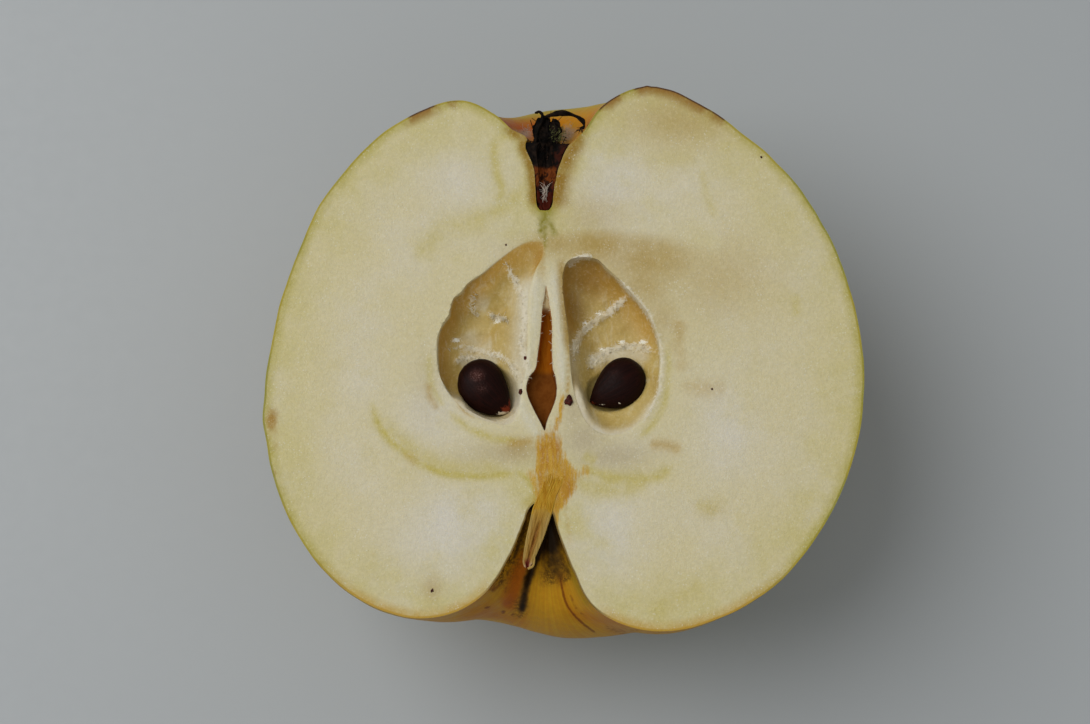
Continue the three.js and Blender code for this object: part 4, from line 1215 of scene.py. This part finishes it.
class Tree:
    """A material's node tree, with short calls for the nodes used here."""

    def __init__(self, name):
        self.material = bpy.data.materials.new(name)
        self.material.use_nodes = True
        self.nodes = self.material.node_tree.nodes
        self.links = self.material.node_tree.links
        self.shader = self.nodes["Principled BSDF"]
        place = self.nodes.new("ShaderNodeTexCoord")
        self.mm = self.vector("MULTIPLY", place.outputs["Object"], (1 / MM, 1 / MM, 1 / MM))

    def feed(self, socket, value):
        if isinstance(value, bpy.types.NodeSocket):
            self.links.new(value, socket)
        else:
            socket.default_value = value

    def vector(self, operation, a, b):
        node = self.nodes.new("ShaderNodeVectorMath")
        node.operation = operation
        self.feed(node.inputs[0], a)
        self.feed(node.inputs[1], b)
        return node.outputs["Vector"]

    def math(self, operation, a, b):
        node = self.nodes.new("ShaderNodeMath")
        node.operation = operation
        self.feed(node.inputs[0], a)
        self.feed(node.inputs[1], b)
        return node.outputs[0]

    def times(self, a, b):
        return self.math("MULTIPLY", a, b)

    def plus(self, a, b):
        return self.math("ADD", a, b)

    def rest(self, share):
        return self.math("SUBTRACT", 1.0, share)

    def plane(self, a, b):
        """A place from two numbers, for noise that follows a surface."""
        node = self.nodes.new("ShaderNodeCombineXYZ")
        self.links.new(a, node.inputs[0])
        self.links.new(b, node.inputs[1])
        return node.outputs[0]

    def value(self, name):
        node = self.nodes.new("ShaderNodeAttribute")
        node.attribute_name = name
        return node.outputs["Fac"]

    def noise(self, size, detail=2.0, roughness=0.5, stretch=(1, 1, 1), place=None, warp=0.0):
        """Noise from 0 to 1, with lumps of the given size in millimetres, longer along stretch."""
        node = self.nodes.new("ShaderNodeTexNoise")
        scale = tuple(1 / (size * s) for s in stretch)
        self.links.new(self.vector("MULTIPLY", place or self.mm, scale), node.inputs["Vector"])
        node.inputs["Scale"].default_value = 1.0
        node.inputs["Detail"].default_value = detail
        node.inputs["Roughness"].default_value = roughness
        node.inputs["Distortion"].default_value = warp
        return node.outputs["Fac"]

    def cells(self, size):
        """The distance from the nearest of points scattered so many millimetres apart."""
        node = self.nodes.new("ShaderNodeTexVoronoi")
        node.feature = "F1"
        self.links.new(self.vector("MULTIPLY", self.mm, (1 / size,) * 3), node.inputs["Vector"])
        node.inputs["Scale"].default_value = 1.0
        return node.outputs["Distance"]

    def spread(self, value, low, high, start=0.0, end=1.0):
        """start where the value is low, end where it is high, and smooth between."""
        node = self.nodes.new("ShaderNodeMapRange")
        node.interpolation_type = "SMOOTHSTEP"
        self.feed(node.inputs["Value"], value)
        for name, number in (("From Min", low), ("From Max", high), ("To Min", start),
                             ("To Max", end)):
            node.inputs[name].default_value = number
        return node.outputs["Result"]

    def mix(self, share, a, b, blend="MIX"):
        node = self.nodes.new("ShaderNodeMix")
        node.data_type = "RGBA"
        node.blend_type = blend
        self.feed(node.inputs["Factor"], share)
        self.feed(node.inputs[6], a)
        self.feed(node.inputs[7], b)
        return node.outputs[2]

    def coat(self, colour, tint, name, strength, noise=None):
        """The tint where the named value is high, at one strength or at one that noise spreads."""
        if noise is not None:
            strength = self.spread(noise, *strength)
        return self.mix(self.times(self.value(name), strength), colour, linear(*tint))

    def frayed(self, name, noise, fray, limits):
        """A named value between limits, with the edge that noise frays."""
        return self.spread(self.plus(self.value(name), self.spread(noise, *fray)), *limits)

    def grey(self, value):
        node = self.nodes.new("ShaderNodeCombineColor")
        for socket in node.inputs[:3]:
            self.links.new(value, socket)
        return node.outputs[0]

    def bump(self, height, depth, before=None):
        """Low relief: height from 0 to 1 stands for so many millimetres."""
        node = self.nodes.new("ShaderNodeBump")
        node.inputs["Strength"].default_value = 1.0
        node.inputs["Distance"].default_value = depth * MM
        self.feed(node.inputs["Height"], height)
        if before is not None:
            self.links.new(before, node.inputs["Normal"])
        return node.outputs["Normal"]

    def finish(self, **inputs):
        for name, value in inputs.items():
            self.feed(self.shader.inputs[name.replace("_", " ")], value)
        return self.material


def core_colour(t):
    """The colour of the fibres between the core and the stem, and the noise that parts them."""
    strand = t.noise(0.3, 3, 0.65, stretch=(1, 9, 1), warp=0.4)
    blotch = t.noise(4.2, 3, 0.6)
    core = t.mix(t.spread(strand, 0.35, 0.65), linear(186, 130, 12), linear(208, 164, 50))
    core = t.mix(t.spread(blotch, 0.45, 0.6, 0.0, 0.4), core, linear(204, 160, 46))
    ember = t.times(t.value("ember"), t.spread(strand, 0.3, 0.6, 0.9, 0.5))
    return t.mix(ember, core, linear(180, 122, 8)), strand


def flesh_material():
    """The cut flesh with all that is drawn on it, and the chambers."""
    t = Tree("flesh")
    cloud, blotch = t.noise(9.0, 3, 0.55), t.noise(4.2, 3, 0.6)
    patch, grain = t.noise(1.7, 3, 0.6), t.noise(0.36, 3, 0.7)
    fine = t.noise(0.17, 2, 0.6)
    edge, amber = t.value("edge"), t.value("amber")

    # the firm flesh: whitish patches, yellower towards the skin
    pale = t.plus(t.times(t.value("pale"), 0.95), t.spread(cloud, 0.4, 0.7, 0.0, 0.35))
    colour = t.mix(pale, linear(219, 207, 163), linear(223, 216, 198))
    yellow = t.times(t.spread(edge, 10.0, 0.5), t.spread(blotch, 0.25, 0.75, 0.2, 0.9))
    colour = t.mix(yellow, colour, linear(209, 197, 132))
    colour = t.mix(t.spread(blotch, 0.55, 0.75, 0.0, 0.35), colour, linear(212, 199, 142))
    rind = t.times(t.spread(edge, 1.7, 0.1), t.spread(patch, 0.2, 0.7, 0.4, 0.9))
    rind = t.times(rind, t.rest(t.value("stem_end")))
    golden = t.mix(t.value("warm"), linear(184, 172, 78), linear(200, 162, 66))
    colour = t.mix(rind, colour, golden)

    # where it has gone brown in the air, the veins and what is torn
    colour = t.coat(colour, (184, 155, 80), "tan", (0.2, 0.6, 0.75, 1.0), patch)
    colour = t.coat(colour, (190, 176, 142), "grey", 0.8)
    colour = t.coat(colour, (200, 184, 92), "vein", (0.3, 0.6, 0.55, 1.0), patch)
    colour = t.coat(colour, (186, 150, 62), "brown", (0.3, 0.6, 0.4, 0.9), patch)
    colour = t.coat(colour, (148, 138, 38), "green", 0.9)
    colour = t.coat(colour, (222, 216, 192), "septum", 0.85)
    stripe = t.noise(0.45, 3, 0.6, stretch=(1, 10, 1))
    colour = t.coat(colour, (196, 186, 124), "septum", (0.5, 0.7, 0.0, 0.45), stripe)
    # painted shade down the septum's side towards the right chamber
    colour = t.coat(colour, (176, 146, 78), "shade", (0.2, 0.6, 0.7, 1.0), patch)
    bruise = t.frayed("bruise", patch, (0.25, 0.75, -0.3, 0.15), (0.14, 1.0))
    colour = t.mix(bruise, colour, linear(174, 136, 56))

    # the fibres between the core and the stem
    core, strand = core_colour(t)
    ragged = t.plus(t.spread(patch, 0.25, 0.75, -0.25, 0.2),
                    t.spread(strand, 0.35, 0.65, -0.25, 0.25))
    ragged = t.times(ragged, t.spread(t.value("core"), 0.0, 0.3))
    colour = t.mix(t.spread(t.plus(t.value("core"), ragged), 0.05, 0.95), colour, core)
    colour = t.coat(colour, (156, 118, 14), "tube", (0.25, 0.65, 0.65, 1.0), patch)

    # the chambers: amber walls with painted shade on their sheer sides, whitish membranes
    floor = t.mix(t.spread(blotch, 0.3, 0.7), linear(184, 154, 78), linear(200, 174, 102))
    # painted shade on the sheer wall
    floor = t.coat(floor, (196, 150, 62), "wall", 0.9)
    wisp = t.noise(1.3, 4, 0.65, stretch=(0.8, 2.6, 1), warp=1.2)
    floor = t.mix(t.spread(wisp, 0.5, 0.72, 0.0, 0.35), floor, linear(222, 210, 174))
    # painted shade in the right chamber
    floor = t.coat(floor, (154, 114, 40), "dusk", 0.8)
    floor = t.coat(floor, (220, 212, 186), "veil", (0.2, 0.7, 0.6, 1.0), blotch)
    floor = t.mix(t.value("flap"), floor, linear(176, 124, 12))
    floor = t.coat(floor, (219, 210, 186), "ledge", (0.2, 0.7, 0.6, 1.0), patch)
    colour = t.mix(amber, colour, floor)
    colour = t.coat(colour, (180, 140, 40), "flap", (0.2, 0.7, 0.3, 0.7), patch)
    fluff = t.times(t.frayed("white", grain, (0.35, 0.65, -0.4, 0.25), (0.1, 0.7)),
                    t.spread(patch, 0.35, 0.6, 0.6, 1.0))
    colour = t.mix(fluff, colour, linear(224, 214, 188))
    # painted highlights on the wet spots
    glint = t.frayed("glint", fine, (0.3, 0.7, -0.4, 0.2), (0.2, 0.6))
    colour = t.mix(glint, colour, linear(246, 242, 226))

    # grain of the cut cells, and painted sparkle: tiny painted highlights on the firm flesh
    colour = t.mix(1.0, colour, t.grey(t.spread(grain, 0.25, 0.75, 0.93, 1.05)), "MULTIPLY")
    dry = t.rest(t.math("MAXIMUM", t.value("core"), amber))
    painted_sparkle = t.times(t.spread(t.cells(0.42), 0.3, 0.08),
                      t.spread(t.noise(2.6, 3, 0.6), 0.42, 0.66, 0.08, 0.5))
    colour = t.mix(t.times(painted_sparkle, dry), colour, linear(236, 233, 218))

    # the thin line of skin round it
    away = t.math("MAXIMUM", t.math("MAXIMUM", t.value("tube"), t.value("core")),
                  t.value("stem_end"))
    line = t.times(t.spread(edge, 0.36, 0.14), t.rest(away))
    skin_line = t.mix(t.spread(cloud, 0.4, 0.6), linear(172, 154, 42), linear(148, 142, 46))
    skin_line = t.mix(t.value("warm"), skin_line, linear(190, 148, 40))
    colour = t.mix(t.times(line, 0.9), colour, skin_line)
    char = t.plus(t.value("scorch"), t.spread(patch, 0.3, 0.7, -0.3, 0.1))
    halo = t.times(t.spread(char, 0.1, 0.8), t.spread(edge, 1.9, 0.1))
    colour = t.mix(halo, colour, linear(156, 114, 40))
    char = t.times(t.spread(char, 0.2, 0.5), t.spread(edge, 0.27, 0.1))
    colour = t.mix(char, colour, linear(82, 50, 14))

    dark_line = t.times(t.value("stem_end"), t.spread(edge, 0.3, 0.1))
    colour = t.mix(dark_line, colour, linear(126, 100, 36))

    moist = t.spread(grain, 0.3, 0.7, 0.36, 0.52)
    moist = t.mix(t.value("glint"), t.grey(moist), (0.12, 0.12, 0.12, 1.0))
    normal = t.bump(fine, 0.035, t.bump(grain, 0.07))
    return t.finish(Base_Color=colour, Roughness=moist, Normal=normal, Subsurface_Weight=0.2,
                    Subsurface_Radius=(1.2, 1.05, 0.7), Subsurface_Scale=MM, Specular_IOR_Level=0.3)


def slit_material():
    """The dark inside of the third chamber, seen through the slit."""
    t = Tree("third_chamber")
    strip, patch = t.noise(0.4, 3, 0.5, stretch=(1, 5, 1)), t.noise(0.8, 3, 0.6)
    colour = t.mix(t.spread(strip, 0.3, 0.7), linear(158, 86, 8), linear(176, 104, 18))
    spade = t.mix(t.spread(patch, 0.3, 0.7), linear(110, 58, 12), linear(126, 72, 24))
    colour = t.mix(t.value("spade"), colour, spade)
    colour = t.mix(t.value("membrane"), colour, linear(186, 164, 122))
    rim = t.times(t.spread(t.value("slit"), 0.9, 0.1), t.spread(patch, 0.35, 0.6))
    colour = t.mix(rim, colour, linear(214, 204, 172))
    return t.finish(Base_Color=colour, Roughness=t.spread(patch, 0.2, 0.8, 0.7, 0.9),
                    Normal=t.bump(strip, 0.06), Specular_IOR_Level=0.05)


def skin_material():
    """Yellow-green skin, with its blush, its pores, and what is round the stem and the calyx."""
    t = Tree("skin")
    along, azimuth = t.value("along"), t.value("azimuth")
    polar = t.plane(t.times(along, 60.0), t.times(azimuth, 24.0))
    cloud, patch = t.noise(16.0, 3, 0.5), t.noise(4.0, 3, 0.6)
    fine, speck = t.noise(0.7, 3, 0.6), t.noise(0.33, 3, 0.65)
    streak = t.noise(1.0, 3, 0.6, stretch=(14, 0.8, 1), place=polar)

    # the ground colour, greener here and there, with a thin blush on the left
    colour = t.mix(t.spread(cloud, 0.35, 0.65), linear(206, 166, 46), linear(190, 164, 54))
    colour = t.mix(t.spread(streak, 0.4, 0.75, 0.0, 0.5), colour, linear(214, 182, 72))
    green = t.times(t.spread(t.noise(22.0, 2, 0.5), 0.45, 0.65, 0.0, 0.6),
                    t.spread(patch, 0.25, 0.6, 0.5, 1.0))
    colour = t.mix(green, colour, linear(158, 154, 54))
    blush_zone = t.times(t.spread(azimuth, 1.3, 2.4, 0.15, 1.0),
                         t.spread(t.noise(12.0, 2, 0.5), 0.4, 0.62))
    blush = t.times(blush_zone, t.spread(streak, 0.42, 0.62, 0.1, 0.6))
    colour = t.mix(blush, colour, linear(196, 102, 38))

    # round the stem
    base = t.spread(along, station("haunch", 0.2), station("base shoulder", 0.8))
    base_colour = t.mix(t.spread(streak, 0.35, 0.65), linear(196, 144, 22), linear(188, 126, 18))
    colour = t.mix(t.times(base, 0.85), colour, base_colour)
    orange = t.frayed("orange", patch, (0.3, 0.7, -0.15, 0.1), (0.1, 1.0, 0.0, 0.92))
    colour = t.mix(orange, colour, linear(176, 90, 2))
    colour = t.coat(colour, (146, 126, 34), "olive", (0.3, 0.6, 0.5, 1.0), fine)
    red = t.frayed("red", fine, (0.25, 0.75, -0.4, 0.1), (0.05, 0.8, 0.0, 0.75))
    colour = t.mix(red, colour, linear(104, 38, 10))
    crown = t.times(t.spread(patch, 0.3, 0.7, 0.6, 1.0),
                    t.spread(along, station("crown", -0.1), station("calyx basin", -0.2)))
    crown_colour = t.mix(t.spread(azimuth, 1.5, 1.9), linear(198, 122, 0), linear(182, 84, 6))
    colour = t.mix(crown, colour, crown_colour)
    colour = t.coat(colour, (164, 142, 40), "rim", 0.8)
    ash = t.frayed("ash", fine, (0.25, 0.75, -0.25, 0.1), (0.0, 0.9, 0.0, 0.8))
    colour = t.mix(ash, colour, linear(172, 146, 122))
    net = t.times(t.spread(t.noise(0.9, 4, 0.7, warp=0.4), 0.36, 0.56), t.spread(speck, 0.4, 0.54))
    around_stem = t.spread(along, station("stem cavity lip", 0.4), station("stem cavity neck", 0.3),
                           0.0, 0.7)
    russet = t.times(t.math("MAXIMUM", t.value("russet"), around_stem), net)
    colour = t.mix(russet, colour, linear(84, 56, 16))
    # the dark crease and round the stem's foot: dark russet with painted shade over it
    dark = t.plus(t.plus(t.value("dark"), t.spread(fine, 0.25, 0.75, -0.15, 0.1)),
                  t.spread(patch, 0.25, 0.75, -0.2, 0.15))
    colour = t.mix(t.spread(dark, 0.0, 0.75, 0.0, 0.85), colour, linear(98, 66, 16))
    colour = t.mix(t.spread(dark, 0.35, 1.05), colour, linear(38, 24, 6))
    colour = t.mix(t.spread(t.value("scorch"), 0.2, 0.7), colour, linear(96, 62, 18))
    deep = t.spread(along, station("stem cavity neck", 0.3), station("stem socket"))
    colour = t.mix(deep, colour, linear(40, 28, 12))
    mouth = t.spread(along, station("calyx basin foot", 0.2), station("calyx tube mouth", 0.2))
    colour = t.mix(mouth, colour, linear(60, 34, 14))

    # pores
    pores = t.cells(3.1)
    bare = t.times(t.spread(along, station("calyx basin", -0.3), station("crown")),
                   t.spread(along, station("base crest", 0.2), station("base shoulder", 0.2)))
    pore = t.times(t.spread(pores, 0.1, 0.06), bare)
    colour = t.mix(t.times(pore, 0.75), colour, linear(224, 206, 130))
    pore_eye = t.times(t.spread(pores, 0.045, 0.02), bare)
    colour = t.mix(pore_eye, colour, linear(120, 84, 40))
    colour = t.mix(1.0, colour, t.grey(t.spread(fine, 0.2, 0.8, 0.9, 1.07)), "MULTIPLY")

    rough = t.spread(t.plus(t.times(russet, 0.5), fine), 0.2, 1.2, 0.38, 0.66)
    normal = t.bump(t.spread(pores, 0.1, 0.03), 0.04, t.bump(fine, 0.035))
    return t.finish(Base_Color=colour, Roughness=rough, Normal=normal, Subsurface_Weight=0.1,
                    Subsurface_Radius=(1.2, 0.7, 0.2), Subsurface_Scale=MM, Specular_IOR_Level=0.1)


def seed_material():
    t = Tree("seed_coat")
    polar = t.plane(t.times(t.value("along"), 8.0), t.times(t.value("around"), 6.0))
    streak = t.noise(0.5, 3, 0.6, stretch=(6, 0.6, 1), place=polar)
    patch, fine = t.noise(1.6, 3, 0.6), t.noise(0.22, 3, 0.65)
    colour = t.mix(t.spread(streak, 0.3, 0.7), linear(18, 5, 3), linear(36, 11, 6))
    colour = t.mix(t.spread(patch, 0.5, 0.75, 0.0, 0.5), colour, linear(46, 15, 8))
    # painted highlight: a lighter reddish patch with pale specks, where the light glances off the
    # coat
    scuff = t.spread(t.value("scuff"), 0.1, 1.0)
    colour = t.mix(t.times(scuff, 0.6), colour, linear(70, 32, 24))
    speck = t.times(scuff, t.spread(t.noise(0.13, 3, 0.7), 0.52, 0.68))
    colour = t.mix(t.times(speck, 0.8), colour, linear(156, 118, 108))
    torn = t.frayed("torn", fine, (0.3, 0.7, -0.35, 0.2), (0.2, 0.7))
    colour = t.mix(torn, colour, linear(120, 48, 26))
    flake = t.frayed("flake", fine, (0.3, 0.7, -0.3, 0.2), (0.3, 0.7))
    colour = t.mix(flake, colour, linear(220, 206, 184))
    rough = t.spread(t.noise(0.3, 3, 0.6), 0.2, 0.8, 0.36, 0.56)
    normal = t.bump(fine, 0.02, t.bump(streak, 0.05))
    return t.finish(Base_Color=colour, Roughness=rough, Normal=normal, Specular_IOR_Level=0.08)


def calyx_material():
    """The brown lining, black where it is burnt, and the kinds of hairs by their shades."""
    t = Tree("dried_flower")
    kind = t.value("kind")
    patch = t.noise(0.8, 3, 0.6)
    strand = t.noise(0.25, 3, 0.6, stretch=(1, 5, 1))
    place = t.nodes.new("ShaderNodeSeparateXYZ")
    t.links.new(t.mm, place.inputs[0])
    right = t.math("SUBTRACT", place.outputs[0], ORIGIN[0])
    up = t.math("SUBTRACT", place.outputs[1], ORIGIN[1])
    wall = t.mix(t.spread(strand, 0.3, 0.7), linear(84, 36, 12), linear(126, 66, 26))
    wall = t.mix(t.spread(up, 23.4, 22.0), wall, linear(74, 26, 14))
    black = t.mix(t.spread(patch, 0.4, 0.8), linear(13, 10, 8), linear(46, 34, 26))
    ragged = t.plus(right, t.spread(patch, 0.3, 0.7, -0.7, 0.5))
    black = t.mix(t.times(t.spread(ragged, 0.9, 1.9), t.spread(up, 28.2, 27.2)), black,
                  linear(60, 26, 16))
    burnt = t.spread(t.plus(up, t.times(patch, 1.2)), 25.2, 25.9)
    spots = t.times(t.spread(t.noise(1.3, 2, 0.5), 0.56, 0.62), 0.85)
    wall = t.mix(spots, wall, linear(30, 18, 14))
    colour = t.mix(burnt, wall, black)
    colour = t.mix(t.spread(kind, 0.5, 0.9), colour, black)
    colour = t.mix(t.spread(kind, 1.1, 1.4, 0.0, 0.5), colour, linear(96, 70, 54))
    felt = t.mix(patch, linear(150, 116, 96), linear(190, 168, 150))
    colour = t.mix(t.spread(kind, 1.5, 2.0), colour, linear(206, 192, 176))
    colour = t.mix(t.spread(kind, 2.1, 2.3), colour, felt)
    colour = t.mix(t.spread(kind, 2.6, 3.0), colour, linear(112, 112, 66))
    return t.finish(Base_Color=colour, Roughness=t.spread(patch, 0.2, 0.8, 0.6, 0.9),
                    Normal=t.bump(strand, 0.08), Specular_IOR_Level=0.06)


def stem_material():
    t = Tree("stem_wood")
    along, across = t.value("along"), t.value("across")
    plane = t.plane(t.times(along, 9.0), t.times(across, 2.0))
    strand = t.noise(0.3, 4, 0.6, stretch=(9, 0.7, 1), place=plane)
    patch = t.noise(0.9, 3, 0.6)
    colour = t.mix(t.spread(strand, 0.3, 0.7), linear(138, 94, 24), linear(178, 140, 60))
    pale_edge = t.plus(t.spread(across, -0.45, -0.85), t.spread(across, 0.25, 0.8))
    colour = t.mix(t.times(pale_edge, 0.5), colour, linear(188, 162, 92))
    crease = t.times(t.spread(across, -0.4, -0.1), t.spread(across, 0.3, 0.05))
    crease = t.times(crease, t.spread(along, 0.3, 0.55))
    colour = t.mix(t.times(crease, 0.8), colour, linear(132, 80, 20))
    end = t.plus(along, t.spread(patch, 0.3, 0.7, -0.06, 0.06))
    colour = t.mix(t.spread(end, 0.86, 0.96, 0.0, 0.7), colour, linear(196, 160, 124))
    colour = t.mix(t.spread(along, 0.4, 0.12), colour, core_colour(t)[0])
    heart = t.times(t.spread(along, 0.78, 0.9),
                    t.times(t.spread(across, -0.75, -0.4), t.spread(across, 0.5, 0.15)))
    colour = t.mix(heart, colour, linear(104, 30, 10))
    return t.finish(Base_Color=colour, Roughness=t.spread(patch, 0.2, 0.8, 0.5, 0.8),
                    Normal=t.bump(strand, 0.09), Subsurface_Weight=0.1,
                    Subsurface_Radius=(0.6, 0.4, 0.2), Subsurface_Scale=MM, Specular_IOR_Level=0.25)


def fibre_material():
    t = Tree("membrane")
    patch = t.noise(0.7, 2, 0.5)
    colour = t.mix(patch, linear(212, 196, 156), linear(232, 224, 200))
    return t.finish(Base_Color=colour, Roughness=t.spread(patch, 0.2, 0.8, 0.4, 0.6),
                    Subsurface_Weight=0.2, Subsurface_Radius=(0.5, 0.4, 0.3), Subsurface_Scale=MM,
                    Specular_IOR_Level=0.2)


def crumb_material():
    t = Tree("seed_coat_scraps")
    patch = t.noise(0.3, 3, 0.6)
    colour = t.mix(t.spread(patch, 0.3, 0.7), linear(42, 12, 6), linear(84, 26, 12))
    return t.finish(Base_Color=colour, Roughness=t.spread(patch, 0.2, 0.8, 0.45, 0.7),
                    Normal=t.bump(patch, 0.05), Specular_IOR_Level=0.2)


def table_material():
    t = Tree("table_top")
    patch = t.noise(60.0, 3, 0.5)
    fine = t.noise(2.0, 3, 0.6)
    colour = t.mix(patch, linear(174, 178, 180), linear(179, 183, 184))
    return t.finish(Base_Color=colour, Roughness=t.spread(fine, 0.2, 0.8, 0.38, 0.45))


# ---------------------------------------------------------------- the studio

CAMERA_DISTANCE = 340.0
CAMERA_TILT = math.radians(9)
LENS, SENSOR = 90.0, 36.0
NEAR, FAR = 0.01, 10  # the camera's clip distances, in metres
TABLE_SIDE = 3000.0
KEY_DIRECTION = (-0.52, 0.2, 0.83)
KEY_DISTANCE, KEY_SIZE, KEY_POWER = 1500.0, 1250.0, 12.1
SKY, SKY_COLOUR = 0.34, (0.97, 0.99, 1.0, 1)


def make_studio():
    """The table, the soft key light, the sky and the camera."""
    bpy.ops.mesh.primitive_plane_add(size=TABLE_SIDE * MM)
    table = bpy.context.object
    table.name = "table"
    table.data.materials.append(table_material())

    lamp = bpy.data.lights.new("key", "AREA")
    lamp.shape = "DISK"
    lamp.size = KEY_SIZE * MM
    lamp.energy = KEY_POWER
    key = bpy.data.objects.new("key", lamp)
    direction = Vector(KEY_DIRECTION).normalized()
    key.location = direction * KEY_DISTANCE * MM
    key.rotation_mode = "QUATERNION"
    key.rotation_quaternion = direction.to_track_quat("Z", "Y")
    bpy.context.collection.objects.link(key)

    world = bpy.data.worlds.new("studio")
    world.use_nodes = True
    background = world.node_tree.nodes["Background"]
    background.inputs["Color"].default_value = SKY_COLOUR
    background.inputs["Strength"].default_value = SKY
    bpy.context.scene.world = world
    bpy.context.scene.view_settings.view_transform = "Standard"

    lens = bpy.data.cameras.new("camera")
    lens.lens, lens.sensor_width = LENS, SENSOR
    lens.clip_start, lens.clip_end = NEAR, FAR
    camera = bpy.data.objects.new("camera", lens)
    offset = (0, -math.sin(CAMERA_TILT), math.cos(CAMERA_TILT))
    camera.location = (Vector(ORIGIN) + CAMERA_DISTANCE * Vector(offset)) * MM
    camera.rotation_euler = (CAMERA_TILT, 0, 0)
    bpy.context.collection.objects.link(camera)
    bpy.context.scene.camera = camera


# ---------------------------------------------------------------- put together


def fruit_origin():
    """The fruit's own origin in the row frame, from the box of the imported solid."""
    _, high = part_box("apple_half")
    fine = np.linspace(0, 1, 4000)
    whole = skin_points(fine, np.linspace(0, math.pi, 49))
    return np.array(high) / MM - (whole[..., 0].max(), whole[..., 1].max(), 0)


ORIGIN = fruit_origin()
REST_HEIGHT = -ORIGIN[2]

make_studio()
make_fruit()
for seed_name, seed_sizes in SEEDS.items():
    make_seed(seed_name, seed_sizes, random.Random(seed_name))
make_calyx(random.Random(3))
make_stem(random.Random(4))
make_fibres(random.Random(5))
make_crumbs(random.Random(6))
